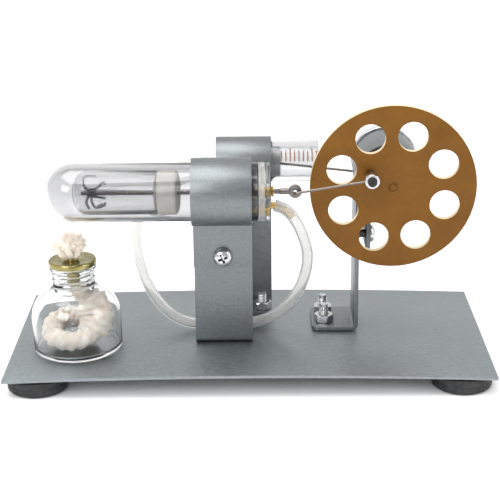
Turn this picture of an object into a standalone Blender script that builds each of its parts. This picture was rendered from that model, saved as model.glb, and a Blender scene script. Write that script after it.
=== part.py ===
"""Hot-air Stirling engine model on a sheet-metal base.

A glass hot cylinder with a glass displacer stands in front, a glass syringe is the power cylinder behind it,
and a silicone hose joins the two. Both drive one cross axle, which carries the flywheel. An alcohol burner
stands under the closed end of the hot cylinder.

Frame: +X to the right along the cylinders, +Y to the rear, +Z up. The origin is on the surface that the
rubber feet stand on, under the middle of the base plate. Lengths are in metres.
"""
import math

import bmesh
import bpy
from mathutils import Matrix, Vector

MM = 0.001
GAP = 0.3 * MM              # space that touching pieces keep
MERGE = 0.00001

# Base plate and rubber feet
PLATE_WIDTH = 146.0 * MM
PLATE_DEPTH = 71.0 * MM
PLATE_THICK = 1.0 * MM
PLATE_CORNER_Z = 6.0 * MM   # top of the sheet at its left and right edges
PLATE_CROWN = 1.28 * MM     # the sheet rises this much between those edges
FOOT_RADIUS = 9.1 * MM
FOOT_X = 63.6 * MM
FOOT_Y = 26.2 * MM

# Sheet-metal brackets: one strip each, bent into a foot, a post, a loop and a tail
STRIP_THICK = 1.1 * MM
STRIP_WIDTH = 17.6 * MM
TAIL_STEP = 3.4 * MM        # middle of the post to the middle of the tail
TAIL_END_Z = 33.6 * MM
CLAMP_SCREW_Z = 36.8 * MM
BEND_RADIUS = 1.4 * MM

# M3 screws and nuts
SHANK_RADIUS = 1.4 * MM
SCREW_HOLE_RADIUS = 1.75 * MM
HEAD_RADIUS = 2.9 * MM
HEAD_HEIGHT = 2.0 * MM
NUT_ACROSS_CORNERS = 6.3 * MM
NUT_HEIGHT = 2.4 * MM
FOOT_SCREW_TOP_Z = 14.5 * MM

# Hot cylinder, on an axis along X
HOT_Y = -18.0 * MM
AXIS_Z = 58.2 * MM          # height of the hot cylinder
HOT_BRACKET_X = -7.75 * MM
HOT_POST_Y = -10.55 * MM
HOT_TUBE_RADIUS = 8.6 * MM
HOT_TUBE_WALL = 1.0 * MM
HOT_TUBE_LEFT = -59.5 * MM
HOT_TUBE_RIGHT = 2.75 * MM
PLUG_FACE = 6.4 * MM        # outer face of the clear end plug

# Displacer inside it
DISPLACER_RADIUS = 6.5 * MM
DISPLACER_WALL = 0.8 * MM
DISPLACER_LEFT = -51.5 * MM
DISPLACER_PLUG_LEFT = -26.6 * MM
DISPLACER_PLUG_RIGHT = -20.95 * MM
ROD_RADIUS = 0.75 * MM
ROD_LEFT = -49.0 * MM
ROD_EYE_X = 13.8 * MM

# Power cylinder: a syringe on an axis along X
COLD_Y = 23.0 * MM
COLD_Z = 56.0 * MM
COLD_BRACKET_X = -1.57 * MM
COLD_POST_Y = 19.95 * MM
BARREL_RADIUS = 6.6 * MM
BARREL_LEFT = -10.2 * MM
BARREL_RIGHT = 22.3 * MM
BARREL_BORE = 4.8 * MM
PISTON_LEFT = -3.5 * MM
PISTON_RIGHT = 10.0 * MM
PISTON_RADIUS = 4.74 * MM
WRIST_X = 3.3 * MM

# Cross axle, along Y, and what turns with it
AXLE_X = 42.9 * MM
AXLE_Z = 57.9 * MM
AXLE_RADIUS = 1.5 * MM
FLYWHEEL_BRACKET_Y = 6.8 * MM
FLYWHEEL_FRONT = -14.0 * MM
FLYWHEEL_THICK = 2.0 * MM
FLYWHEEL_RADIUS = 24.65 * MM
WINDOW_RADIUS = 4.45 * MM
WINDOW_PITCH = 16.28 * MM
WINDOW_COUNT = 8
WINDOW_START = math.radians(70.3)
FRONT_CRANK_RADIUS = 7.9 * MM
FRONT_CRANK_ANGLE = math.radians(150.0)
REAR_CRANK_RADIUS = 6.9 * MM
REAR_CRANK_ANGLE = math.radians(244.0)
CONROD_Y = -20.2 * MM       # plane that the displacer's connecting rod moves in
DISC_FRONT = 17.8 * MM
DISC_THICK = 2.5 * MM
DISC_RADIUS = 10.4 * MM

# Silicone hose and the brass nozzle that it starts on
HOSE_RADIUS = 1.75 * MM
HOSE_WALL = 0.45 * MM
NOZZLE_RADIUS = 1.0 * MM
NOZZLE_WALL = 0.4 * MM
NOZZLE_DROP = 4.3 * MM      # below the hot cylinder's axis

# Alcohol burner
BURNER_X = -52.65 * MM
BURNER_Y = -12.0 * MM
BOTTLE_RADIUS = 13.6 * MM
BOTTLE_WALL = 1.1 * MM
NECK_RADIUS = 6.1 * MM
LIP_RADIUS = 7.1 * MM
LIP_TOP = 26.9 * MM         # heights here are above the bottle's own bottom
WICK_TUBE_RADIUS = 1.9 * MM
WICK_TUBE_BORE = 1.4 * MM

TOWARDS = {"X": (0.0, math.pi / 2, 0.0), "Y": (-math.pi / 2, 0.0, 0.0), "Z": (0.0, 0.0, 0.0)}

STEEL = ("galvanised_steel", (0.42, 0.45, 0.46), 0.42, 1.0)
SCREW_STEEL = ("zinc_plated_screw", (0.72, 0.73, 0.74), 0.25, 1.0)
DARK_STEEL = ("steel_wire", (0.30, 0.28, 0.27), 0.3, 1.0)
ALUMINIUM = ("aluminium", (0.70, 0.72, 0.74), 0.25, 1.0)
BRASS = ("brass", (0.66, 0.48, 0.20), 0.3, 1.0)
RUBBER = ("black_rubber", (0.02, 0.02, 0.022), 0.7, 0.0)
GLASS = ("clear_glass", (0.92, 0.93, 0.93), 0.03, 0.0)
CLEAR_PLASTIC = ("clear_plastic", (0.88, 0.89, 0.90), 0.1, 0.0)
FROSTED_GLASS = ("frosted_glass", (0.62, 0.65, 0.66), 0.4, 0.0)
CERAMIC = ("white_ceramic", (0.80, 0.78, 0.72), 0.5, 0.0)
SILICONE = ("milky_silicone", (0.78, 0.79, 0.80), 0.35, 0.0)
ENAMEL = ("ochre_enamel", (0.36, 0.17, 0.02), 0.35, 0.0)
COTTON = ("cotton", (0.80, 0.70, 0.58), 0.95, 0.0)


def clear_scene():
    """Empty the scene and make the two collections."""
    for old in list(bpy.data.objects):
        bpy.data.objects.remove(old, do_unlink=True)
    made = []
    for name in ("stirling_engine_model", "cutters"):
        collection = bpy.data.collections.new(name)
        bpy.context.scene.collection.children.link(collection)
        made.append(collection)
    return made


PARTS, CUTTERS = clear_scene()


def material(spec):
    """One Principled material for each finish, made the first time it is used."""
    name, colour, roughness, metallic = spec
    found = bpy.data.materials.get(name)
    if found:
        return found
    made = bpy.data.materials.new(name)
    made.use_nodes = True
    shader = made.node_tree.nodes["Principled BSDF"]
    shader.inputs["Base Color"].default_value = (*colour, 1.0)
    shader.inputs["Roughness"].default_value = roughness
    shader.inputs["Metallic"].default_value = metallic
    made.diffuse_color = (*colour, 1.0)
    return made


def add_object(name, data, finish, place=(0, 0, 0), turn=(0, 0, 0), parent=None):
    """Put a mesh or curve in the model with its finish, its place and its rotation."""
    made = bpy.data.objects.new(name, data)
    made.location = place
    made.rotation_euler = turn
    if finish is None:
        CUTTERS.objects.link(made)
        made.hide_render = True
        made.display_type = "WIRE"
    else:
        data.materials.append(material(finish))
        PARTS.objects.link(made)
    if parent:
        made.parent = parent
    bpy.context.view_layer.update()
    return made


def smooth(data):
    """Shade round walls smooth and keep real corners sharp."""
    data.shade_smooth()
    data.set_sharp_from_angle(angle=math.radians(35))


def turned(name, profile, finish, place, axis, steps=40, hollow=False, parent=None):
    """Turn a profile of (radius, height) points, listed down the outer side; a hollow one closes on itself."""
    data = bpy.data.meshes.new(name)
    points = [(radius, 0.0, height) for radius, height in profile]
    edges = [(i, i + 1) for i in range(len(points) - 1)]
    if hollow:
        edges.append((len(points) - 1, 0))
    data.from_pydata(points, edges, [])
    made = add_object(name, data, finish, place, TOWARDS[axis], parent)
    screw = made.modifiers.new("turn", "SCREW")
    screw.steps = steps
    screw.render_steps = steps
    screw.use_merge_vertices = True
    screw.merge_threshold = MERGE
    return made


def cylinder(name, radius, length, finish, place, axis, sides=32, parent=None):
    """A plain cylinder centred on its place."""
    data = bpy.data.meshes.new(name)
    shape = bmesh.new()
    bmesh.ops.create_cone(shape, cap_ends=True, segments=sides, radius1=radius, radius2=radius, depth=length)
    shape.to_mesh(data)
    shape.free()
    if finish is not None:
        smooth(data)
    return add_object(name, data, finish, place, TOWARDS[axis], parent)


def combine(target, tool, operation):
    """Cut a cutter out of a piece, or join it on."""
    step = target.modifiers.new(operation.lower(), "BOOLEAN")
    step.operation = operation
    step.object = tool
    step.solver = "EXACT"


def drill(target, radius, length, place, axis, sides=12):
    """Cut a round hole, centred on its place."""
    combine(target, cylinder(target.name + "_drill", radius, length, None, place, axis, sides), "DIFFERENCE")


def smooth_route(points, spacing):
    """Points every so often along a smooth curve through the given ones (a centripetal Catmull-Rom spline)."""
    knots = [Vector(p) for p in points]
    knots = [2 * knots[0] - knots[1]] + knots + [2 * knots[-1] - knots[-2]]
    route = [knots[1]]
    for i in range(1, len(knots) - 2):
        a, b, c, d = knots[i - 1:i + 3]
        t1 = (b - a).length ** 0.5
        t2 = t1 + (c - b).length ** 0.5
        t3 = t2 + (d - c).length ** 0.5
        count = max(1, round((c - b).length / spacing))
        for k in range(1, count + 1):
            t = t1 + (t2 - t1) * k / count
            ab = a * ((t1 - t) / t1) + b * (t / t1)
            bc = b * ((t2 - t) / (t2 - t1)) + c * ((t - t1) / (t2 - t1))
            cd = c * ((t3 - t) / (t3 - t2)) + d * ((t - t2) / (t3 - t2))
            abc = ab * ((t2 - t) / t2) + bc * (t / t2)
            bcd = bc * ((t3 - t) / (t3 - t1)) + cd * ((t - t1) / (t3 - t1))
            route.append(abc * ((t2 - t) / (t2 - t1)) + bcd * ((t - t1) / (t2 - t1)))
    return route


def wire_curve(name, points, radius, resolution=2, caps=True, widths=None):
    """A round wire through the given points, as curve data."""
    data = bpy.data.curves.new(name, "CURVE")
    data.dimensions = "3D"
    data.bevel_depth = radius
    data.bevel_resolution = resolution
    data.use_fill_caps = caps
    spline = data.splines.new("POLY")
    spline.points.add(len(points) - 1)
    for i, (slot, point) in enumerate(zip(spline.points, points)):
        slot.co = (*point, 1.0)
        slot.radius = widths[i] if widths else 1.0
    return data


def wire_mesh(name, points, radius, finish, resolution=2, caps=True, widths=None, parent=None):
    """A wire or an open tube as a mesh object, so that it can be joined, cut or given a wall."""
    curve = add_object(name + "_line", wire_curve(name + "_line", points, radius, resolution, caps, widths),
                       COTTON, parent=parent)
    data = bpy.data.meshes.new_from_object(curve.evaluated_get(bpy.context.evaluated_depsgraph_get()))
    data.materials.clear()
    place = curve.matrix_world.copy()
    bpy.data.objects.remove(curve, do_unlink=True)
    shape = bmesh.new()
    shape.from_mesh(data)
    bmesh.ops.remove_doubles(shape, verts=shape.verts, dist=MERGE)
    shape.to_mesh(data)
    shape.free()
    made = add_object(name, data, finish)
    made.matrix_world = place
    bpy.context.view_layer.update()
    return made


def hollow_tube(name, points, radius, wall, finish, resolution=2):
    """A bent tube with open ends."""
    made = wire_mesh(name, points, radius, finish, resolution, caps=False)
    thicken(made, wall, -1.0)
    return made


def thicken(target, wall, offset=0.0):
    """Give an open surface its thickness."""
    solid = target.modifiers.new("wall", "SOLIDIFY")
    solid.thickness = wall
    solid.offset = offset
    solid.use_even_offset = True


def plate_top(x):
    """Height of the base plate's upper side, which crowns gently between its left and right edges."""
    return PLATE_CORNER_Z + PLATE_CROWN * (1 - (2 * x / PLATE_WIDTH) ** 2)


def on_axle(radius, angle, y):
    """A point at a radius and angle around the cross axle."""
    return (AXLE_X + radius * math.cos(angle), y, AXLE_Z + radius * math.sin(angle))


FRONT_CRANK = on_axle(FRONT_CRANK_RADIUS, FRONT_CRANK_ANGLE, CONROD_Y)
REAR_CRANK = on_axle(REAR_CRANK_RADIUS, REAR_CRANK_ANGLE, COLD_Y)


def arc(centre, radius, start, end, count):
    """Points along an arc, both ends included."""
    angles = [start + (end - start) * i / count for i in range(count + 1)]
    return [(centre[0] + radius * math.cos(a), centre[1] + radius * math.sin(a)) for a in angles]


def round_corners(points, radius, steps=3):
    """Replace each sharp corner of an outline with an arc, and leave its gentle bends alone."""
    path = [Vector(points[0])]
    for before, corner, after in zip(points, points[1:], points[2:]):
        corner = Vector(corner)
        back = (Vector(before) - corner).normalized()
        ahead = (Vector(after) - corner).normalized()
        turn = math.pi - back.angle(ahead)
        if turn < math.radians(20):
            path.append(corner)
            continue
        reach = radius * math.tan(turn / 2)
        middle = corner + (back + ahead).normalized() * (radius / math.cos(turn / 2))
        first = corner + back * reach - middle
        last = corner + ahead * reach - middle
        for i in range(steps + 1):
            swing = first.slerp(last, i / steps)
            path.append(middle + swing.normalized() * radius)
    path.append(Vector(points[-1]))
    return path


def base_plate():
    """The sheet that everything stands on, with its screw holes."""
    columns = 14
    data = bpy.data.meshes.new("base_plate")
    points = []
    for i in range(columns + 1):
        x = PLATE_WIDTH * (i / columns - 0.5)
        for side in (-1, 1):
            points.append((x, side * PLATE_DEPTH / 2, plate_top(x) - PLATE_THICK / 2))
    faces = [(2 * i, 2 * i + 2, 2 * i + 3, 2 * i + 1) for i in range(columns)]
    data.from_pydata(points, [], faces)
    made = add_object("base_plate", data, STEEL)
    thicken(made, PLATE_THICK)
    return made


def feet():
    """Four rubber feet with a rounded lower edge and a shallow recess for their glue."""
    for row, y in (("front", -FOOT_Y), ("rear", FOOT_Y)):
        for side, x in (("left", -FOOT_X), ("right", FOOT_X)):
            top = PLATE_CORNER_Z - PLATE_THICK - GAP
            edge = arc((FOOT_RADIUS - 1.2 * MM, 1.2 * MM), 1.2 * MM, 0.0, -math.pi / 2, 3)
            profile = [(0.0, top), (FOOT_RADIUS - 0.5 * MM, top), (FOOT_RADIUS, top - 0.5 * MM)] + edge + [(0.0, 0.0)]
            turned(f"foot_{row}_{side}", profile, RUBBER, (x, y, 0.0), "Z", 24)


def screw(name, length, place, turn, parent=None):
    """A pan-head machine screw; its shank runs along its own -Z from the seat of the head."""
    dome = arc((0.0, -2.3 * MM), 4.3 * MM, math.pi / 2, math.radians(47.6), 3)
    profile = dome + [(HEAD_RADIUS, 0.0), (SHANK_RADIUS, 0.0), (SHANK_RADIUS, 0.3 * MM - length),
                      (SHANK_RADIUS - 0.3 * MM, -length), (0.0, -length)]
    made = turned(name, profile, SCREW_STEEL, place, "Z", 12, parent=parent)
    made.rotation_euler = turn
    return made


def nut(name, place, turn, parent=None):
    """A hexagon nut centred on its place."""
    made = cylinder(name, NUT_ACROSS_CORNERS / 2, NUT_HEIGHT, SCREW_STEEL, place, "Z", 6, parent)
    made.rotation_euler = turn
    bore = cylinder(name + "_bore", SHANK_RADIUS + GAP, 2 * NUT_HEIGHT, None, place, "Z", 12, parent)
    bore.rotation_euler = turn
    combine(made, bore, "DIFFERENCE")
    return made


def bracket(name, place, turn, loop_radius, loop_offset, loop_z, foot, screws_at, plate):
    """A clip bracket bent from one strip, with its clamp screw and its foot screws.

    In its own frame the post stands at x = 0, the foot runs towards -x and the loop and tail towards +x.
    """
    frame = bpy.data.objects.new(name + "_frame", None)
    PARTS.objects.link(frame)
    frame.location = place
    frame.rotation_euler = (0.0, 0.0, turn)
    middle = loop_radius - STRIP_THICK / 2
    foot_end, foot_z, foot_screw_x = foot
    start = math.pi + math.acos(loop_offset / middle)
    tail_side = TAIL_STEP - loop_offset
    end = -math.acos(tail_side / middle)
    loop = arc((loop_offset, loop_z), middle, start, end, 20)
    outline = [(-foot_end, foot_z), (0.0, foot_z)] + loop + [(TAIL_STEP, TAIL_END_Z)]
    path = round_corners(outline, BEND_RADIUS)
    corner = 2.2 * MM
    ease = [corner * (1 - math.cos(k * math.pi / 4)) for k in range(3)]
    path = [Vector((-foot_end + s, foot_z)) for s in ease] + path[1:]
    data = bpy.data.meshes.new(name)
    points = []
    for i, spot in enumerate(path):
        inset = corner * (1 - math.sin(i * math.pi / 4)) if i < len(ease) else 0.0
        for side in (-1, 1):
            points.append((spot.x, side * (STRIP_WIDTH / 2 - inset), spot.y))
    faces = [(2 * i, 2 * i + 1, 2 * i + 3, 2 * i + 2) for i in range(len(path) - 1)]
    data.from_pydata(points, [], faces)
    smooth(data)
    made = add_object(name + "_bracket", data, STEEL, parent=frame)
    thicken(made, STRIP_THICK)

    def place_of(x, y, z):
        return frame.matrix_world @ Vector((x, y, z))

    along = TOWARDS["X"]
    seat = TAIL_STEP + STRIP_THICK / 2 + GAP
    reach = Matrix.Rotation(turn, 3, "Z") @ Matrix.Rotation(math.pi / 2, 3, "Y")
    drill_turn = reach.to_euler()
    hole = cylinder(name + "_clamp_drill", SCREW_HOLE_RADIUS, 12 * MM, None,
                    place_of(TAIL_STEP / 2, 0, CLAMP_SCREW_Z), "Z", 12)
    hole.rotation_euler = drill_turn
    combine(made, hole, "DIFFERENCE")
    screw(name + "_clamp_screw", 9.0 * MM, (seat, 0, CLAMP_SCREW_Z), along, frame)
    nut(name + "_clamp_nut", (-STRIP_THICK / 2 - GAP - NUT_HEIGHT / 2, 0, CLAMP_SCREW_Z), along, frame)

    for label, y in screws_at:
        spot = place_of(foot_screw_x, y, 0.0)
        under = plate_top(spot.x) - PLATE_THICK - GAP
        nut_z = foot_z + STRIP_THICK / 2 + GAP / 2 + NUT_HEIGHT / 2
        for target in (made, plate):
            drill(target, SCREW_HOLE_RADIUS, 6 * MM, (spot.x, spot.y, foot_z - 0.5 * MM), "Z")
        screw(f"{name}_foot_screw_{label}", FOOT_SCREW_TOP_Z - under, (spot.x, spot.y, under), (math.pi, 0, 0))
        nut(f"{name}_foot_nut_{label}", (spot.x, spot.y, nut_z), (0, 0, turn))
    return made


def foot_height(inner_x):
    """Middle of a bracket foot's thickness, just clear of the plate under it."""
    return plate_top(inner_x) + GAP + STRIP_THICK / 2


def brackets(plate):
    """The three brackets: one for each cylinder and one for the axle."""
    pair = (("left", -5.6 * MM), ("right", 5.6 * MM))
    loop = HOT_TUBE_RADIUS + GAP + STRIP_THICK
    bracket("hot", (HOT_BRACKET_X, HOT_POST_Y, 0), -math.pi / 2, loop, HOT_POST_Y - HOT_Y, AXIS_Z,
            (8.6 * MM, foot_height(0.0), -5.1 * MM), pair, plate)
    bracket("cold", (COLD_BRACKET_X, COLD_POST_Y, 0), math.pi / 2, BARREL_RADIUS + GAP + STRIP_THICK,
            COLD_Y - COLD_POST_Y, COLD_Z, (8.8 * MM, foot_height(0.0), -5.1 * MM),
            (("right", -5.6 * MM), ("left", 5.6 * MM)), plate)
    post_x = AXLE_X - loop + STRIP_THICK / 2
    bracket("flywheel", (post_x, FLYWHEEL_BRACKET_Y, 0), 0.0, loop, loop - STRIP_THICK / 2 - MERGE / 10, AXLE_Z,
            (13.8 * MM, foot_height(19.5 * MM), -9.9 * MM),
            (("front", -3.4 * MM), ("rear", 4.6 * MM)), plate)


def glass_tube_profile(radius, wall, length, dome):
    """A test tube on its own +Z: the open end at 0 and the closed, domed end at -length."""
    inner = radius - wall
    outside = [(radius, 0.0)]
    quarter = [math.pi / 2 * i / 5 for i in range(6)]
    outside += [(radius * math.cos(a), -length + dome - dome * math.sin(a)) for a in quarter]
    inside = [(inner * math.cos(a), -length + dome - (dome - wall) * math.sin(a)) for a in reversed(quarter)]
    outside[-1] = (0.0, -length)
    inside[0] = (0.0, -length + wall)
    return outside + inside + [(inner, 0.0)]


def hot_cylinder():
    """Glass tube, its silicone seal, the clear plug, the brass rod guide and the brass nozzle."""
    axis = (0.0, HOT_Y, AXIS_Z)
    turned("hot_tube", glass_tube_profile(HOT_TUBE_RADIUS, HOT_TUBE_WALL, HOT_TUBE_RIGHT - HOT_TUBE_LEFT,
                                          8.4 * MM), GLASS, (HOT_TUBE_RIGHT, HOT_Y, AXIS_Z), "X", 32, hollow=True)
    left = HOT_TUBE_RIGHT + GAP
    right = PLUG_FACE - 1.2 * MM - GAP
    bore = HOT_TUBE_RADIUS - HOT_TUBE_WALL
    ribs = [(HOT_TUBE_RADIUS + (0.1 * MM if i % 2 else -0.05 * MM), right + (left - right) * i / 4)
            for i in range(5)]
    turned("tube_seal", ribs + [(bore, left), (bore, right)], SILICONE, axis, "X", 32, hollow=True)
    body = bore - 0.35 * MM
    flange = PLUG_FACE - 1.2 * MM
    rim = HOT_TUBE_RADIUS - 0.1 * MM
    guide_hole = 1.7 * MM
    profile = [(guide_hole, PLUG_FACE), (rim - 0.5 * MM, PLUG_FACE), (rim - 0.15 * MM, PLUG_FACE - 0.2 * MM),
               (rim, PLUG_FACE - 0.6 * MM), (rim, flange), (body, flange), (body, -3.5 * MM),
               (guide_hole, -3.5 * MM)]
    plug = turned("tube_end_plug", profile, CLEAR_PLASTIC, axis, "X", 32, hollow=True)
    drill(plug, NOZZLE_RADIUS + GAP, 20 * MM, (2 * MM, HOT_Y, AXIS_Z - NOZZLE_DROP), "X")
    seat = PLUG_FACE + GAP
    clearance = ROD_RADIUS + 0.07 * MM
    turned("rod_guide", [(clearance, seat + 0.8 * MM), (1.7 * MM, seat + 0.8 * MM), (1.9 * MM, seat + 0.6 * MM),
                         (1.9 * MM, seat), (1.4 * MM, seat), (1.4 * MM, -4.2 * MM), (clearance, -4.2 * MM)],
           BRASS, axis, "X", 24, hollow=True)


def hose_route():
    """The hose's centre line: out of the plug, down to the plate, round behind the post and up to the syringe."""
    low = plate_top(0.0) + GAP + HOSE_RADIUS
    start = AXIS_Z - NOZZLE_DROP
    return [Vector((x * MM, y * MM, z)) for x, y, z in (
        (7.8, -18.0, start), (10.4, -18.0, start - 1.0 * MM), (13.0, -17.6, start - 3.6 * MM),
        (15.3, -16.6, 46.0 * MM), (17.0, -14.6, 40.8 * MM), (17.7, -12.5, 35.6 * MM), (17.1, -10.2, 29.8 * MM),
        (15.2, -7.6, 23.4 * MM), (12.0, -4.6, 17.4 * MM), (7.3, -1.6, 12.4 * MM), (1.0, 0.4, low + 0.3 * MM),
        (-7.6, 1.1, low + 0.05 * MM), (-16.4, 0.3, low + 0.1 * MM), (-22.2, 0.2, 11.0 * MM),
        (-26.4, 1.6, 13.6 * MM), (-30.2, 4.6, 17.2 * MM), (-33.2, 8.4, 22.0 * MM), (-35.4, 12.4, 27.6 * MM),
        (-36.2, 16.2, 33.6 * MM), (-35.4, 19.4, 39.8 * MM), (-32.8, 21.7, 45.8 * MM), (-28.2, 22.8, 51.0 * MM),
        (-22.2, 23.0, 54.5 * MM), (-16.2, 23.0, 55.9 * MM), (-10.9, 23.0, 56.0 * MM))]


def hose():
    """The brass nozzle in the plug and the silicone hose that runs from it to the syringe's tip."""
    points = hose_route()
    inside = [Vector((-3.6 * MM, HOT_Y, points[0].z)), Vector((2.0 * MM, HOT_Y, points[0].z))]
    bend = smooth_route(points, 1.3 * MM)[:6]
    hollow_tube("hose_nozzle", inside + bend, NOZZLE_RADIUS, NOZZLE_WALL, BRASS)
    hollow_tube("air_hose", smooth_route(points, 4.5 * MM), HOSE_RADIUS, HOSE_WALL, SILICONE)


def displacer():
    """The glass displacer with its ceramic plug, the rod with its eye, and the spring clip that centres it."""
    open_end = DISPLACER_PLUG_LEFT - GAP
    turned("displacer_tube", glass_tube_profile(DISPLACER_RADIUS, DISPLACER_WALL, open_end - DISPLACER_LEFT,
                                                4.2 * MM), GLASS, (open_end, HOT_Y, AXIS_Z), "X", 24, hollow=True)
    spigot = DISPLACER_RADIUS - DISPLACER_WALL - GAP
    rim = DISPLACER_RADIUS + 0.15 * MM
    bore = ROD_RADIUS + GAP
    profile = [(bore, DISPLACER_PLUG_RIGHT), (rim - 0.5 * MM, DISPLACER_PLUG_RIGHT),
               (rim, DISPLACER_PLUG_RIGHT - 0.5 * MM), (rim, DISPLACER_PLUG_LEFT), (spigot, DISPLACER_PLUG_LEFT),
               (spigot, DISPLACER_PLUG_LEFT - 1.0 * MM), (bore, DISPLACER_PLUG_LEFT - 1.0 * MM)]
    turned("displacer_plug", profile, CERAMIC, (0.0, HOT_Y, AXIS_Z), "X", 24, hollow=True)

    rod = turned("displacer_rod", [(0.0, ROD_EYE_X), (ROD_RADIUS, ROD_EYE_X), (ROD_RADIUS, ROD_LEFT + 0.3 * MM),
                                   (ROD_RADIUS - 0.3 * MM, ROD_LEFT), (0.0, ROD_LEFT)],
                 DARK_STEEL, (0.0, HOT_Y, AXIS_Z), "X", 24)
    eye = cylinder("rod_eye", 2.0 * MM, 2.0 * MM, None, (ROD_EYE_X, HOT_Y, AXIS_Z), "Y", 32)
    combine(rod, eye, "UNION")

    clip = turned("displacer_clip", [(1.5 * MM, 0.0), (1.5 * MM, -2.4 * MM), (bore, -2.4 * MM), (bore, 0.0)],
                  DARK_STEEL, (-44.6 * MM, HOT_Y, AXIS_Z), "X", 24, hollow=True)
    up = ((-46.6, 0.0, 1.28), (-47.6, 0.0, 1.4), (-48.0, 0.0, 2.4), (-48.0, 0.0, 4.3), (-47.4, 0.0, 4.85),
          (-44.4, 0.0, 4.85))
    rear = tuple((x, 0.97 * z, -0.24 * z) for x, _, z in up)
    down = ((-46.8, -0.9, -0.9), (-47.2, -1.8, -2.4), (-46.4, -2.5, -4.1))
    front = ((-46.0, -0.9, -0.9), (-45.6, -2.2, -2.2), (-44.0, -3.2, -3.4), (-41.8, -3.0, -2.7))
    leaf = ((-46.8, -0.95, 0.85), (-45.6, -1.1, 1.35), (-44.3, -1.1, 1.7), (-43.0, -1.1, 3.1), (-42.2, -1.1, 3.4),
            (-41.8, -1.1, 2.8))
    for label, line in (("up", up), ("rear", rear), ("down", down), ("front", front), ("leaf", leaf)):
        points = [Vector((x * MM, HOT_Y + y * MM, AXIS_Z + z * MM)) for x, y, z in line]
        combine(clip, wire_mesh(f"clip_{label}", points, 0.34 * MM, None, 1), "UNION")


def power_cylinder():
    """The syringe barrel with its tip, the ground piston in it, the wrist pin and the piston's connecting rod."""
    axis = (0.0, COLD_Y, COLD_Z)
    tip = BARREL_LEFT - 4.6 * MM
    profile = [(BARREL_RADIUS - 0.3 * MM, BARREL_RIGHT), (BARREL_RADIUS, BARREL_RIGHT - 0.3 * MM),
               (BARREL_RADIUS, BARREL_LEFT + 0.8 * MM), (BARREL_RADIUS - 0.8 * MM, BARREL_LEFT),
               (NOZZLE_RADIUS, BARREL_LEFT), (NOZZLE_RADIUS - 0.1 * MM, tip), (0.5 * MM, tip),
               (0.5 * MM, BARREL_LEFT + 1.6 * MM), (BARREL_BORE, BARREL_LEFT + 1.6 * MM),
               (BARREL_BORE, BARREL_RIGHT)]
    turned("syringe_barrel", profile, GLASS, axis, "X", 28, hollow=True)

    cup = 3.4 * MM
    profile = [(PISTON_RADIUS - 0.3 * MM, PISTON_RIGHT), (PISTON_RADIUS, PISTON_RIGHT - 0.3 * MM),
               (PISTON_RADIUS, PISTON_LEFT + 0.3 * MM), (PISTON_RADIUS - 0.3 * MM, PISTON_LEFT),
               (0.0, PISTON_LEFT), (0.0, PISTON_LEFT + 2.2 * MM), (cup, PISTON_LEFT + 2.2 * MM),
               (cup, PISTON_RIGHT)]
    piston = turned("piston", profile, FROSTED_GLASS, axis, "X", 24, hollow=True)
    drill(piston, 0.9 * MM, 12 * MM, (WRIST_X, COLD_Y, COLD_Z), "Y")
    cylinder("wrist_pin", 0.6 * MM, 9.0 * MM, SCREW_STEEL, (WRIST_X, COLD_Y, COLD_Z), "Y", 20)

    wrist = Vector((WRIST_X, COLD_Y, COLD_Z))
    crank = Vector(REAR_CRANK)
    way = (crank - wrist).normalized()
    ring = [(1.6 * MM, 0.7 * MM), (1.6 * MM, -0.7 * MM), (0.67 * MM, -0.7 * MM), (0.67 * MM, 0.7 * MM)]
    rod = turned("piston_conrod", ring, DARK_STEEL, tuple(wrist), "Y", 24, hollow=True)
    line = wire_mesh("piston_conrod_wire", [wrist + way * 1.1 * MM, crank - way * 1.4 * MM], 0.4 * MM, None, 2)
    big_end = [(1.9 * MM, 0.7 * MM), (1.9 * MM, -0.7 * MM), (1.15 * MM, -0.7 * MM), (1.15 * MM, 0.7 * MM)]
    eye = turned("piston_conrod_eye", big_end, None, tuple(crank), "Y", 24, hollow=True)
    combine(rod, line, "UNION")
    combine(rod, eye, "UNION")


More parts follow.
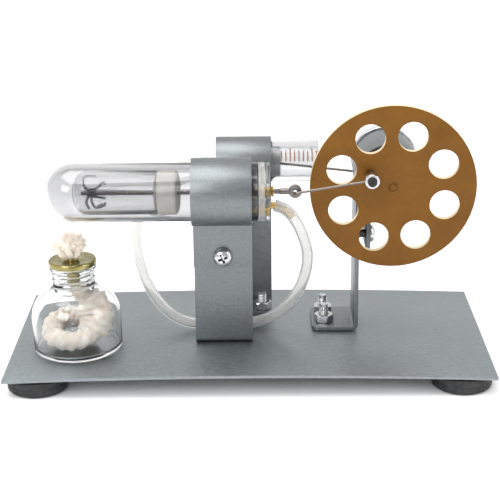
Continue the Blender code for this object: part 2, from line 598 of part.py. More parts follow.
def axle_group():
    """The bearing housing, its two bearings, the axle, and everything fixed on the axle."""
    middle = (AXLE_X, 0.0, AXLE_Z)
    front = FLYWHEEL_BRACKET_Y - STRIP_WIDTH / 2
    rear = FLYWHEEL_BRACKET_Y + STRIP_WIDTH / 2
    seat = 5.0 * MM + GAP
    deep = 4.2 * MM
    profile = [(HOT_TUBE_RADIUS, rear), (HOT_TUBE_RADIUS, front), (seat, front), (seat, front + deep),
               (3.6 * MM, front + deep), (3.6 * MM, rear - deep), (seat, rear - deep), (seat, rear)]
    turned("bearing_housing", profile, ALUMINIUM, middle, "Y", 28, hollow=True)
    for label, y in (("front", front), ("rear", rear - 4.0 * MM)):
        bore = AXLE_RADIUS + 0.06 * MM
        ring = [(5.0 * MM, y + 4.0 * MM), (5.0 * MM, y), (4.2 * MM, y), (4.0 * MM, y + 0.3 * MM),
                (2.5 * MM, y + 0.3 * MM), (2.3 * MM, y), (bore, y), (bore, y + 4.0 * MM)]
        turned(f"bearing_{label}", ring, SCREW_STEEL, middle, "Y", 20, hollow=True)

    axle_front = FLYWHEEL_FRONT - 0.6 * MM
    axle_rear = DISC_FRONT + DISC_THICK
    edge = AXLE_RADIUS - 0.3 * MM
    turned("axle", [(0.0, axle_rear), (edge, axle_rear), (AXLE_RADIUS, axle_rear - 0.3 * MM),
                    (AXLE_RADIUS, axle_front + 0.3 * MM), (edge, axle_front), (0.0, axle_front)],
           SCREW_STEEL, middle, "Y", 24)

    bore = AXLE_RADIUS + GAP
    back = FLYWHEEL_FRONT + FLYWHEEL_THICK
    wheel = cylinder("flywheel", FLYWHEEL_RADIUS, FLYWHEEL_THICK, ENAMEL,
                     (AXLE_X, FLYWHEEL_FRONT + FLYWHEEL_THICK / 2, AXLE_Z), "Y", 72)
    drill(wheel, bore, 8 * MM, (AXLE_X, FLYWHEEL_FRONT, AXLE_Z), "Y", 20)
    for i in range(WINDOW_COUNT):
        angle = WINDOW_START + 2 * math.pi * i / WINDOW_COUNT
        drill(wheel, WINDOW_RADIUS, 8 * MM, on_axle(WINDOW_PITCH, angle, FLYWHEEL_FRONT), "Y", 24)
    pin = 1.1 * MM
    pin_x, _, pin_z = FRONT_CRANK
    drill(wheel, pin + GAP, 8 * MM, (pin_x, FLYWHEEL_FRONT, pin_z), "Y", 20)

    hub = turned("flywheel_hub", [(3.7 * MM, back + 5.2 * MM), (4.0 * MM, back + 4.9 * MM), (4.0 * MM, back + GAP),
                                  (bore, back + GAP), (bore, back + 5.2 * MM)],
                 ALUMINIUM, middle, "Y", 24, hollow=True)
    grub_y = back + 2.8 * MM
    drill(hub, 1.2 * MM, 4 * MM, (AXLE_X, grub_y, AXLE_Z + 4.0 * MM), "Z", 20)
    cylinder("hub_grub_screw", 0.9 * MM, 2.2 * MM, DARK_STEEL, (AXLE_X, grub_y, AXLE_Z + 3.2 * MM), "Z", 16)

    shoulder = 1.6 * MM
    collar_back = CONROD_Y + 1.55 * MM
    turned("front_crank_pin", [(0.0, back - 0.2 * MM), (pin, back - 0.2 * MM), (pin, FLYWHEEL_FRONT - GAP),
                               (shoulder, FLYWHEEL_FRONT - GAP), (shoulder, collar_back + GAP),
                               (pin, collar_back + GAP), (pin, CONROD_Y - 2.2 * MM),
                               (pin - 0.3 * MM, CONROD_Y - 2.5 * MM), (0.0, CONROD_Y - 2.5 * MM)],
           DARK_STEEL, (pin_x, 0.0, pin_z), "Y", 20)

    big_end = [(1.9 * MM, 1.55 * MM), (2.15 * MM, 1.3 * MM), (2.15 * MM, -1.3 * MM), (1.9 * MM, -1.55 * MM),
               (pin + 0.07 * MM, -1.55 * MM), (pin + 0.07 * MM, 1.55 * MM)]
    rod = turned("displacer_conrod", big_end, SCREW_STEEL, FRONT_CRANK, "Y", 24, hollow=True)
    crank = Vector(FRONT_CRANK)
    eye = Vector((ROD_EYE_X, CONROD_Y, AXIS_Z))
    way = (crank - eye).normalized()
    wire = wire_mesh("displacer_conrod_wire", [eye, crank - way * 1.6 * MM], 0.42 * MM, None, 2)
    small_end = cylinder("displacer_conrod_eye", 1.4 * MM, 1.0 * MM, None, tuple(eye), "Y", 24)
    combine(rod, wire, "UNION")
    combine(rod, small_end, "UNION")

    disc = cylinder("rear_crank_disc", DISC_RADIUS, DISC_THICK, ALUMINIUM,
                    (AXLE_X, DISC_FRONT + DISC_THICK / 2, AXLE_Z), "Y", 40)
    drill(disc, bore, 8 * MM, (AXLE_X, DISC_FRONT, AXLE_Z), "Y", 20)
    rear_x, _, rear_z = REAR_CRANK
    drill(disc, 1.0 * MM + GAP, 8 * MM, (rear_x, DISC_FRONT, rear_z), "Y", 20)
    tip = COLD_Y - 0.7 * MM - GAP
    cylinder("rear_crank_pin", 1.0 * MM, tip - DISC_FRONT, SCREW_STEEL,
             (rear_x, (tip + DISC_FRONT) / 2, rear_z), "Y", 20)


def burner():
    """The alcohol burner: a glass bottle, a brass cap with its wick tube, and the cotton wick."""
    lean = math.atan(2 * PLATE_CROWN * BURNER_X / (PLATE_WIDTH / 2) ** 2)
    frame = bpy.data.objects.new("burner_frame", None)
    PARTS.objects.link(frame)
    frame.location = (BURNER_X, BURNER_Y, plate_top(BURNER_X) + GAP)
    frame.rotation_euler = (0.0, lean, 0.0)
    bpy.context.view_layer.update()

    neck_z = 19.2 * MM
    side_z = 10.4 * MM
    quarter = [math.pi / 2 * i / 6 for i in range(7)]
    inner = BOTTLE_RADIUS - BOTTLE_WALL
    bore = NECK_RADIUS - BOTTLE_WALL
    outside = [(LIP_RADIUS - 0.4 * MM, LIP_TOP), (LIP_RADIUS, LIP_TOP - 0.4 * MM), (LIP_RADIUS, LIP_TOP - 1.6 * MM),
               (LIP_RADIUS - 0.4 * MM, LIP_TOP - 2.0 * MM), (NECK_RADIUS, LIP_TOP - 2.4 * MM),
               (NECK_RADIUS, neck_z + 0.6 * MM)]
    outside += [(NECK_RADIUS + (BOTTLE_RADIUS - NECK_RADIUS) * math.sin(a),
                 side_z + (neck_z - side_z) * math.cos(a)) for a in quarter]
    outside += arc((BOTTLE_RADIUS - 1.2 * MM, 1.2 * MM), 1.2 * MM, 0.0, -math.pi / 2, 3) + [(0.0, 0.0)]
    inside = [(0.0, 1.2 * MM), (inner - 1.2 * MM, 1.2 * MM), (inner, 2.4 * MM)]
    inside += [(bore + (inner - bore) * math.sin(a), side_z + (neck_z - BOTTLE_WALL - side_z) * math.cos(a))
               for a in reversed(quarter)]
    inside += [(bore, LIP_TOP)]
    turned("burner_bottle", outside + inside, GLASS, (0, 0, 0), "Z", 32, hollow=True, parent=frame)

    crest = LIP_TOP + 2.6 * MM
    tube_end = LIP_TOP - 5.4 * MM
    rim = LIP_RADIUS + 0.15 * MM
    cap = [(WICK_TUBE_RADIUS, crest), (WICK_TUBE_RADIUS, crest - 0.9 * MM), (5.4 * MM, crest - 0.9 * MM),
           (LIP_RADIUS, crest - 1.3 * MM), (rim, crest - 1.6 * MM), (rim, LIP_TOP + GAP),
           (bore - GAP, LIP_TOP + GAP), (bore - GAP, LIP_TOP - 1.2 * MM), (WICK_TUBE_RADIUS, LIP_TOP - 1.2 * MM),
           (WICK_TUBE_RADIUS, tube_end), (WICK_TUBE_BORE, tube_end), (WICK_TUBE_BORE, crest)]
    turned("burner_cap", cap, BRASS, (0, 0, 0), "Z", 24, hollow=True, parent=frame)

    strand = WICK_TUBE_BORE - GAP
    points = [Vector((x * MM, y * MM, z * MM)) for x, y, z in (
        (5.2, -2.0, 6.4), (6.2, -1.6, 9.6), (5.9, -0.9, 12.6), (3.9, -0.3, 15.4), (1.2, 0.0, 18.4),
        (0.2, 0.0, 19.6), (0.0, 0.0, 20.6), (0.0, 0.0, 25.0), (0.0, 0.0, 29.2), (-0.3, 0.0, 31.0), (-1.0, 0.0, 33.0))]
    widths = [2.9, 3.4, 3.4, 2.5, 2.0, 1.4, 1.0, 1.0, 1.0, 1.3, 1.6]
    wick = wire_mesh("burner_wick", points, strand, COTTON, 2, widths=widths, parent=frame)
    tuft_data = bpy.data.meshes.new("wick_tuft")
    shape = bmesh.new()
    bmesh.ops.create_uvsphere(shape, u_segments=14, v_segments=8, radius=1.0)
    bmesh.ops.scale(shape, vec=Vector((5.5, 4.6, 3.6)) * MM, verts=shape.verts)
    shape.to_mesh(tuft_data)
    shape.free()
    tuft = add_object("wick_tuft", tuft_data, None, (-1.05 * MM, 0.0, 33.6 * MM), parent=frame)
    ring = [(6.5 * MM + 3.8 * MM * math.cos(a), 2.3 * MM * math.sin(a))
            for a in [-2 * math.pi * i / 10 for i in range(10)]]
    coil = turned("wick_coil", ring, None, (-1.1 * MM, -1.0 * MM, 6.9 * MM), "Z", 20, hollow=True, parent=frame)
    coil.rotation_euler = (math.radians(15), 0.0, 0.0)
    combine(wick, coil, "UNION")
    combine(wick, tuft, "UNION")


def build():
    """Make the whole engine."""
    plate = base_plate()
    feet()
    brackets(plate)
    hot_cylinder()
    hose()
    displacer()
    power_cylinder()
    axle_group()
    burner()


build()
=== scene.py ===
"""Finishes for a hot-air Stirling engine model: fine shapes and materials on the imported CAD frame.

The pieces' coordinates are in millimetres in the CAD frame (+X right, +Y rear, +Z up), and become metres when
a mesh is made. The lights' are in metres.
"""
import random
from math import acos, atan, copysign, cos, hypot, pi, radians, sin, sqrt, tan

import bmesh
import bpy
from mathutils import Matrix, Vector, noise


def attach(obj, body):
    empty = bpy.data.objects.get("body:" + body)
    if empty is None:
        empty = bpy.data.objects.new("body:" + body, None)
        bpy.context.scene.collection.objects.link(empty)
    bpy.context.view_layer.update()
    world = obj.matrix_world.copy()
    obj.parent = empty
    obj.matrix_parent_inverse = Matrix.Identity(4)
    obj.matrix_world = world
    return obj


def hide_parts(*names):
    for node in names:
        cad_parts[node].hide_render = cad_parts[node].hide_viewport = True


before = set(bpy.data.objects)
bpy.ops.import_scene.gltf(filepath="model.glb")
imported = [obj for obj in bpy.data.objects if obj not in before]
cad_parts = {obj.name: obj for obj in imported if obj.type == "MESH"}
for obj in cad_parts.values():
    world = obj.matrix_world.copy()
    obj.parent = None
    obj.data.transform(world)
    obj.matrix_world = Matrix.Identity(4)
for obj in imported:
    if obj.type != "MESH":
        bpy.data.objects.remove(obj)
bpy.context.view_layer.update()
MM = 0.001
SCENE = bpy.context.scene
SHARP = 32.0  # edges that turn by more degrees than this stay crisp

GAP = 0.3  # between pieces that touch
STRAP = 1.1  # thickness of the brackets' strip in the CAD

PLATE_LENGTH = 146.0
PLATE_DEPTH = 71.0
PLATE_THICK = 1.0
PLATE_CROWN = 1.28
PLATE_END_Z = 6.0  # top of the plate at its two ends

AXIS_Z = 58.2  # axis of the hot cylinder and the displacer
HOT_Y = -18.0
HOT_RADIUS = 8.6
EYE_X = 13.8  # the eye on the displacer's rod
NOZZLE_Z = AXIS_Z - 4.3
HOSE_RADIUS = 1.75
HOSE_BORE = 1.25

COLD_Y = 23.0  # axis of the power cylinder
COLD_Z = 56.0
BARREL_RADIUS = 6.6
WRIST_X = 3.3

AXLE_X = 42.9
AXLE_Z = 57.9
AXLE_RADIUS = 1.5
AXLE_REAR = 20.3
WHEEL_FRONT = -14.0
WHEEL_BACK = -12.0
WHEEL_RADIUS = 24.65
CONROD_Y = -20.2

THREAD_RADIUS = 1.45
NUT_HALF = 1.2  # half of a nut's height
CLAMP_Z = 36.8  # height of the clamp screws
TAIL_STEP = 3.4  # from a bracket's post to its tail

BURNER_X = -52.65
BURNER_Y = -12.0
BOTTLE_RADIUS = 13.6
BOTTLE_WALL = 0.7
NECK_RADIUS = 6.1
SIDE_Z = 10.4  # the burner's heights are above the bottle's bottom
NECK_Z = 19.2
LIP_TOP = 26.9


def on_axle(radius, angle):
    """X and Z of a point at a radius and an angle in degrees about the axle."""
    turn = radians(angle)
    return AXLE_X + radius * cos(turn), AXLE_Z + radius * sin(turn)


FRONT_PIN = on_axle(7.9, 150)
REAR_PIN = on_axle(6.9, 244)
# for each axis, two directions across it and the one along it
BASES = {"X": (Vector((0, 1, 0)), Vector((0, 0, 1)), Vector((1, 0, 0))),
         "Y": (Vector((0, 0, 1)), Vector((1, 0, 0)), Vector((0, 1, 0))),
         "Z": (Vector((1, 0, 0)), Vector((0, 1, 0)), Vector((0, 0, 1)))}


# Camera, floor and light

def add_camera():
    """The camera, about 19 degrees above the horizon and almost square to the front."""
    pitch, yaw, roll = radians(19.15), -0.0048, -0.0095
    ahead = Vector((sin(yaw) * cos(pitch), cos(yaw) * cos(pitch), -sin(pitch)))
    right = Vector((cos(yaw), -sin(yaw), 0))
    up = right.cross(ahead)
    turned_right = cos(roll) * right + sin(roll) * up
    turned_up = -sin(roll) * right + cos(roll) * up
    data = bpy.data.cameras.new("camera")
    data.sensor_width = 36
    data.lens = 100.8
    camera = bpy.data.objects.new("camera", data)
    SCENE.collection.objects.link(camera)
    axes = Matrix((turned_right, turned_up, -ahead)).transposed()
    camera.matrix_world = Matrix.Translation(Vector((2.3, -410.5, 176.4)) * MM) @ axes.to_4x4()
    SCENE.camera = camera


def add_light(name, place, aim, size, power):
    """A square soft box."""
    data = bpy.data.lights.new(name, "AREA")
    data.shape = "RECTANGLE"
    data.size = size[0]
    data.size_y = size[1]
    data.energy = power
    lamp = bpy.data.objects.new(name, data)
    SCENE.collection.objects.link(lamp)
    lamp.location = place
    lamp.rotation_euler = (Vector(aim) - Vector(place)).to_track_quat("-Z", "Y").to_euler()


def add_studio():
    """A white floor that runs out of sight, a pale surround and soft boxes above and in front."""
    world = bpy.data.worlds.new("surround")
    SCENE.world = world
    world.use_nodes = True
    tree = world.node_tree
    back = tree.nodes["Background"]
    place = tree.nodes.new("ShaderNodeTexCoord")
    split = tree.nodes.new("ShaderNodeSeparateXYZ")
    ramp = tree.nodes.new("ShaderNodeValToRGB")
    shift = tree.nodes.new("ShaderNodeMapRange")
    shift.inputs["From Min"].default_value = -1.0
    tree.links.new(place.outputs["Generated"], split.inputs[0])
    tree.links.new(split.outputs["Y"], shift.inputs["Value"])
    tree.links.new(shift.outputs[0], ramp.inputs[0])
    dark, light = ramp.color_ramp.elements
    dark.position, dark.color = 0.05, (0.60, 0.61, 0.63, 1)
    light.position, light.color = 0.55, (1, 1, 1, 1)
    tree.links.new(ramp.outputs[0], back.inputs["Color"])
    back.inputs["Strength"].default_value = 1.02
    data = bpy.data.meshes.new("floor")
    shape = bmesh.new()
    bmesh.ops.create_grid(shape, x_segments=1, y_segments=1, size=6.0)
    shape.to_mesh(data)
    shape.free()
    floor = bpy.data.objects.new("floor", data)
    SCENE.collection.objects.link(floor)
    floor.location = (0, 0, -0.0001)
    data.materials.append(Look("floor_white", (0.92, 0.92, 0.92), 0.9, Specular_IOR_Level=0.1).material)
    add_light("top_box", (-0.15, -0.1, 0.75), (0, 0, 0.03), (0.7, 0.5), 4.5)
    add_light("front_box", (-0.45, -0.65, 0.5), (0, 0, 0.04), (0.45, 0.35), 3.2)
    add_light("side_box", (0.6, -0.25, 0.35), (0.02, 0, 0.05), (0.3, 0.4), 1.4)
    SCENE.view_settings.view_transform = "Standard"


# Materials

class Look:
    """A Principled material and short ways to add nodes to it."""

    def __init__(self, name, colour, roughness, metallic=0.0, **sockets):
        self.material = bpy.data.materials.new(name)
        self.material.use_nodes = True
        self.tree = self.material.node_tree
        self.shader = self.tree.nodes["Principled BSDF"]
        self.shader.inputs["Base Color"].default_value = (*colour, 1)
        self.shader.inputs["Roughness"].default_value = roughness
        self.shader.inputs["Metallic"].default_value = metallic
        for key, value in sockets.items():
            self.shader.inputs[key.replace("_", " ")].default_value = value
        self.place = self.node("ShaderNodeTexCoord").outputs["Object"]
        self.material.diffuse_color = (*colour, 1)

    def node(self, kind, **inputs):
        made = self.tree.nodes.new(kind)
        for key, value in inputs.items():
            made.inputs[key].default_value = value
        return made

    def link(self, a, b):
        self.tree.links.new(a, b)

    def stretched(self, scale):
        """The object's coordinates, stretched."""
        made = self.node("ShaderNodeMapping", Scale=scale)
        self.link(self.place, made.inputs["Vector"])
        return made.outputs[0]

    def noise(self, scale, detail=4.0, where=None, rough=0.55):
        made = self.node("ShaderNodeTexNoise", Scale=scale, Detail=detail, Roughness=rough)
        self.link(where or self.place, made.inputs["Vector"])
        return made.outputs[0]

    def spread(self, value, low, high, start=0.3, end=0.7):
        """Map a texture value to a range."""
        made = self.node("ShaderNodeMapRange", **{"From Min": start, "From Max": end, "To Min": low,
                                                  "To Max": high})
        self.link(value, made.inputs["Value"])
        return made.outputs[0]

    def mix(self, factor, a, b):
        """Mix two colours, each an output or three numbers."""
        made = self.node("ShaderNodeMix")
        made.data_type = "RGBA"
        self.link(factor, made.inputs["Factor"])
        for socket, colour in ((made.inputs[6], a), (made.inputs[7], b)):
            if isinstance(colour, tuple):
                socket.default_value = (*colour, 1)
            else:
                self.link(colour, socket)
        return made.outputs[2]

    def colour(self, output):
        self.link(output, self.shader.inputs["Base Color"])

    def roughness(self, output):
        self.link(output, self.shader.inputs["Roughness"])

    def drift(self, scale, detail, a, b):
        """Let the colour drift between two."""
        self.colour(self.mix(self.spread(self.noise(scale, detail), 0, 1), a, b))

    def uneven(self, scale, detail, low, high):
        """Let the roughness drift between two values."""
        self.roughness(self.spread(self.noise(scale, detail), low, high))

    def bump(self, height, distance, strength=0.5):
        made = self.node("ShaderNodeBump", Strength=strength, Distance=distance)
        self.link(height, made.inputs["Height"])
        before = self.shader.inputs["Normal"].links
        if before:
            self.link(before[0].from_socket, made.inputs["Normal"])
        self.link(made.outputs[0], self.shader.inputs["Normal"])


def scaled(colour, factor):
    return tuple(min(1, c * factor) for c in colour)


def galvanised(name, tone, grain):
    """Zinc-coated sheet: fine mottling, pickling specks, and the faint lines of rolling."""
    look = Look(name, tone, 0.42, 0.92)
    mottle = look.noise(900, 5, rough=0.65)
    base = look.mix(look.spread(mottle, 0, 1, 0.36, 0.64), scaled(tone, 0.80), scaled(tone, 1.16))
    cloud = look.noise(70, 3)
    patchy = look.mix(look.spread(cloud, 0, 0.6), base, scaled(tone, 0.9))
    lines = look.noise(2200, 3, look.stretched(grain))
    brushed = look.mix(look.spread(lines, 0, 0.5, 0.4, 0.65), patchy, scaled(tone, 1.16))
    specks = look.noise(1500, 3)
    look.colour(look.mix(look.spread(specks, 0, 0.7, 0.67, 0.74), brushed, scaled(tone, 0.5)))
    look.roughness(look.spread(mottle, 0.36, 0.5))
    look.bump(lines, 0.00002, 0.3)
    look.bump(mottle, 0.000012, 0.2)
    return look.material


def polished(name, colour, roughness, grain_scale=1500.0, metallic=1.0, stretch=(1, 1, 1)):
    """Bare or plated metal with handling marks: drifting colour and roughness, and a fine grain."""
    look = Look(name, colour, roughness, metallic)
    look.drift(420, 5, scaled(colour, 0.88), scaled(colour, 1.12))
    look.uneven(900, 4, roughness * 0.7, min(1, roughness * 1.45))
    look.bump(look.noise(grain_scale, 3, look.stretched(stretch)), 0.00002, 0.3)
    return look.material


def enamel(name, colour, roughness):
    """Semi-matt paint on a pressed disc, slightly uneven, with a fine orange peel."""
    look = Look(name, colour, roughness, 0.2, Specular_IOR_Level=0.3)
    cloud = look.noise(110, 5)
    fleck = look.noise(2400, 2)
    base = look.mix(look.spread(cloud, 0, 1), scaled(colour, 0.88), scaled(colour, 1.12))
    look.colour(look.mix(look.spread(fleck, 0, 0.4, 0.55, 0.8), base, scaled(colour, 1.7)))
    look.uneven(500, 4, roughness * 0.85, roughness * 1.25)
    look.bump(fleck, 0.00002, 0.3)
    return look.material


def glass(name, tint, roughness=0.0, ior=1.46, wave=0.00003):
    """Blown glass: clear, with a faint waviness in the wall."""
    look = Look(name, tint, roughness, Transmission_Weight=1.0, IOR=ior)
    look.bump(look.noise(70, 2), wave, 0.4)
    look.drift(160, 3, tint, scaled(tint, 1.015))
    return look.material


def ground_glass():
    """Ground glass: grey and half see-through, with a fine tooth."""
    look = Look("ground_glass", (0.72, 0.74, 0.75), 0.45, Transmission_Weight=0.55, IOR=1.4)
    grit = look.noise(3000, 3)
    look.drift(300, 3, (0.68, 0.70, 0.71), (0.80, 0.82, 0.83))
    look.roughness(look.spread(grit, 0.35, 0.6))
    look.bump(grit, 0.00003, 0.4)
    return look.material


def silicone():
    """Milky silicone tube: light shines through it, and its skin is smooth with a little dust."""
    look = Look("milky_silicone", (0.88, 0.88, 0.87), 0.18, Transmission_Weight=0.80, IOR=1.2)
    look.drift(90, 3, (0.84, 0.84, 0.825), (0.90, 0.90, 0.89))
    look.uneven(260, 3, 0.14, 0.24)
    return look.material


def rubber():
    """Black moulded rubber, matt and slightly dusty."""
    look = Look("moulded_rubber", (0.012, 0.012, 0.013), 0.62)
    dust = look.spread(look.noise(500, 5), 0, 1, 0.4, 0.75)
    look.colour(look.mix(dust, (0.010, 0.010, 0.011), (0.030, 0.030, 0.031)))
    look.uneven(900, 4, 0.5, 0.75)
    look.bump(look.noise(1800, 3), 0.00005, 0.4)
    return look.material


def ceramic():
    """Unglazed white ceramic fibre plug, chalky, with small pits."""
    look = Look("white_ceramic", (0.80, 0.78, 0.71), 0.75)
    look.drift(600, 5, (0.74, 0.71, 0.64), (0.86, 0.84, 0.77))
    look.uneven(300, 3, 0.65, 0.85)
    look.bump(look.noise(1400, 4), 0.00008, 0.5)
    return look.material


def cotton():
    """Loose cotton fibre: cream, drifting at random to a darker, warmer tone that is painted shade for its
    hollows.
    """
    look = Look("cotton_fibre", (0.90, 0.80, 0.70), 0.95, Sheen_Weight=0.4, Sheen_Roughness=0.5,
                Subsurface_Weight=0.25, Subsurface_Scale=0.001, Subsurface_Radius=(1.0, 0.7, 0.5))
    # the darker, warmer end of this drift is painted shade
    look.drift(700, 5, (0.86, 0.73, 0.60), (0.98, 0.93, 0.86))
    look.uneven(1200, 3, 0.88, 1.0)
    look.bump(look.noise(2600, 4), 0.0002, 0.6)
    return look.material


def brass_cap():
    """Pressed brass with a green-gold lacquer, brushed on the top."""
    look = Look("lacquered_brass", (0.34, 0.29, 0.11), 0.2, 1.0)
    look.drift(260, 5, (0.17, 0.15, 0.05), (0.38, 0.33, 0.14))
    look.uneven(800, 4, 0.12, 0.28)
    look.bump(look.noise(1600, 3, look.stretched((1, 6, 1))), 0.00002, 0.3)
    return look.material


# every material, under the short name that piece() takes
LOOKS = dict(
    sheet=galvanised("galvanised_plate", (0.27, 0.295, 0.305), (0.12, 1, 1)),
    strap=galvanised("galvanised_strap", (0.195, 0.21, 0.215), (0.08, 0.5, 2.5)),
    zinc=polished("bright_zinc", (0.56, 0.57, 0.58), 0.22),
    # a dark copy of the bright zinc: painted shade on the walls of the screws' cross recesses
    recess=polished("zinc_painted_recess_shade", (0.10, 0.10, 0.105), 0.5),
    rod=polished("drawn_wire", (0.17, 0.15, 0.14), 0.3, stretch=(0.2, 1, 1)),
    # dark steel with a brown tint; the brown is a painted reflection of the ochre flywheel, and the link
    # wire, piston rod wire, grub screw and front crank pin all wear it
    wire=polished("drawn_wire_painted_reflection", (0.22, 0.19, 0.17), 0.3, stretch=(0.2, 1, 1)),
    clip=polished("blackened_wire", (0.05, 0.047, 0.046), 0.4, stretch=(0.2, 1, 1)),
    aluminium=polished("turned_aluminium", (0.62, 0.65, 0.68), 0.25, stretch=(1, 8, 1)),
    brass=polished("turned_brass", (0.50, 0.34, 0.12), 0.25),
    cap=brass_cap(),
    paint=enamel("ochre_paint", (0.155, 0.062, 0.004), 0.5),
    # a lighter copy of the ochre paint: painted highlight for the lit side walls of the flywheel's holes and
    # its rim
    paint_highlight_edge=enamel("ochre_paint_highlight_edge", (0.70, 0.58, 0.38), 0.45),
    tube=glass("tube_glass", (0.70, 0.70, 0.705)),
    inner_tube=glass("displacer_glass", (0.83, 0.83, 0.835)),
    barrel=glass("barrel_glass", (0.74, 0.745, 0.75)),
    bottle=glass("bottle_glass", (0.94, 0.945, 0.945), wave=0.00008),
    plastic=glass("clear_plastic", (0.90, 0.91, 0.92), 0.24, 1.35),
    frost=ground_glass(),
    hose=silicone(),
    rubber=rubber(),
    ceramic=ceramic(),
    cotton=cotton(),
    ink=polished("brown_ink", (0.25, 0.12, 0.07), 0.6, 800, 0.0))


# Shapes

def solid(name, shape, matrix=None):
    """Turn a bmesh in millimetres into an object in metres."""
    bmesh.ops.recalc_face_normals(shape, faces=shape.faces)
    data = bpy.data.meshes.new(name)
    shape.to_mesh(data)
    shape.free()
    if matrix is not None:
        data.transform(matrix)
    data.transform(Matrix.Scale(MM, 4))
    made = bpy.data.objects.new(name, data)
    SCENE.collection.objects.link(made)
    return made


def smooth(data, angle=SHARP):
    data.shade_smooth()
    data.set_sharp_from_angle(angle=radians(angle))


def piece(name, shape, look, body, node=None, angle=SHARP, matrix=None):
    """Turn a bmesh into an object with its material that stands for a CAD node and rides on a body."""
    bmesh.ops.remove_doubles(shape, verts=shape.verts, dist=1e-5)
    made = solid(name, shape, matrix)
    smooth(made.data, angle)
    made.data.materials.append(LOOKS[look])
    if node:
        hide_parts(node)
    if body:
        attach(made, body)
    return made


def second_look(made, look, test):
    """Give the faces that pass a test of centre (in mm) and normal a second material."""
    made.data.materials.append(LOOKS[look])
    for face in made.data.polygons:
        if test(face.center / MM, face.normal):
            face.material_index = 1


def lathe_into(shape, profile, axis="Z", origin=(0, 0, 0), steps=64, closed=False):
    """Add a turned profile of (radius, height) points to a bmesh."""
    u, v, w = BASES[axis]
    origin = Vector(origin)
    rings = []
    for radius, height in profile:
        if radius < 1e-6:
            rings.append([shape.verts.new(origin + w * height)])
            continue
        ring = []
        for j in range(steps):
            a = 2 * pi * j / steps
            ring.append(shape.verts.new(origin + (u * cos(a) + v * sin(a)) * radius + w * height))
        rings.append(ring)
    pairs = list(zip(rings, rings[1:]))
    if closed:
        pairs.append((rings[-1], rings[0]))
    for upper, lower in pairs:
        for j in range(steps):
            k = (j + 1) % steps
            corners = []
            for ring, index in ((upper, j), (lower, j), (lower, k), (upper, k)):
                vert = ring[index] if len(ring) > 1 else ring[0]
                if vert not in corners:
                    corners.append(vert)
            if len(corners) > 2:
                shape.faces.new(corners)


def lathe(name, profile, look, body, node, axis="Z", origin=(0, 0, 0), steps=64, closed=False, matrix=None,
          angle=SHARP):
    """A turned piece. A closed profile joins its last point to its first."""
    shape = bmesh.new()
    lathe_into(shape, profile, axis, origin, steps, closed)
    return piece(name, shape, look, body, node, angle=angle, matrix=matrix)


def arc(centre, radius, start, end, count):
    """Points along a circle's arc, in two dimensions."""
    angles = [start + (end - start) * i / count for i in range(count + 1)]
    return [(centre[0] + radius * cos(a), centre[1] + radius * sin(a)) for a in angles]


def band(outer, inner, top, bottom):
    """The closed profile of a ring."""
    return [(outer, top), (outer, bottom), (inner, bottom), (inner, top)]


def post(radius, top, bottom):
    """The open profile of a solid round bar."""
    return [(0, top), (radius, top), (radius, bottom), (0, bottom)]


def eased(profile, radius, closed=False, steps=3):
    """Round the corners of a turned profile a little, so that its edges catch light."""
    points = [Vector(p) for p in profile]
    count = len(points)
    result = []
    for i, here in enumerate(points):
        if not closed and i in (0, count - 1):
            result.append(tuple(here))
            continue
        before, after = points[i - 1], points[(i + 1) % count]
        a, b = before - here, after - here
        if a.length < 1e-6 or b.length < 1e-6 or abs(a.angle(b) - pi) < radians(25):
            result.append(tuple(here))
            continue
        reach = min(radius, a.length * 0.45, b.length * 0.45)
        first, last = here + a.normalized() * reach, here + b.normalized() * reach
        for k in range(steps + 1):
            t = k / steps
            spot = first * (1 - t) ** 2 + here * 2 * t * (1 - t) + last * t ** 2
            result.append(tuple(spot))
    return result


def smooth_route(points, spacing):
    """Points every so often along a centripetal Catmull-Rom curve through the given ones."""
    knots = [Vector(p) for p in points]
    knots = [2 * knots[0] - knots[1]] + knots + [2 * knots[-1] - knots[-2]]
    route = [knots[1]]
    for i in range(1, len(knots) - 2):
        a, b, c, d = knots[i - 1:i + 3]
        t1 = (b - a).length ** 0.5
        t2 = t1 + (c - b).length ** 0.5
        t3 = t2 + (d - c).length ** 0.5
        count = max(1, round((c - b).length / spacing))
        for k in range(1, count + 1):
            t = t1 + (t2 - t1) * k / count
            ab = a * ((t1 - t) / t1) + b * (t / t1)
            bc = b * ((t2 - t) / (t2 - t1)) + c * ((t - t1) / (t2 - t1))
            cd = c * ((t3 - t) / (t3 - t2)) + d * ((t - t2) / (t3 - t2))
            abc = ab * ((t2 - t) / t2) + bc * (t / t2)
            bcd = bc * ((t3 - t) / (t3 - t1)) + cd * ((t - t1) / (t3 - t1))
            route.append(abc * ((t2 - t) / (t2 - t1)) + bcd * ((t - t1) / (t2 - t1)))
    return route


def frames_along(points):
    """For each point the two directions across the path, carried along without twist."""
    tangents = []
    for i in range(len(points)):
        a = points[max(0, i - 1)]
        b = points[min(len(points) - 1, i + 1)]
        tangents.append((b - a).normalized())
    side = tangents[0].cross(Vector((0.2, 0.9, 0.35))).normalized()
    result = []
    for tangent in tangents:
        side = (side - tangent * side.dot(tangent)).normalized()
        result.append((side, tangent.cross(side).normalized()))
    return result


def bridge(shape, upper, lower):
    """Join two rings that have the same number of points."""
    for j in range(len(upper)):
        k = (j + 1) % len(upper)
        shape.faces.new((upper[j], lower[j], lower[k], upper[k]))


def bar_into(shape, rows):
    """Skin a bar whose cross-sections are rows of four points."""
    for a, b in zip(rows, rows[1:]):
        for p, q in ((0, 1), (1, 3), (3, 2), (2, 0)):
            shape.faces.new((a[p], a[q], b[q], b[p]))
    for row in (rows[0], rows[-1]):
        shape.faces.new((row[0], row[1], row[3], row[2]))


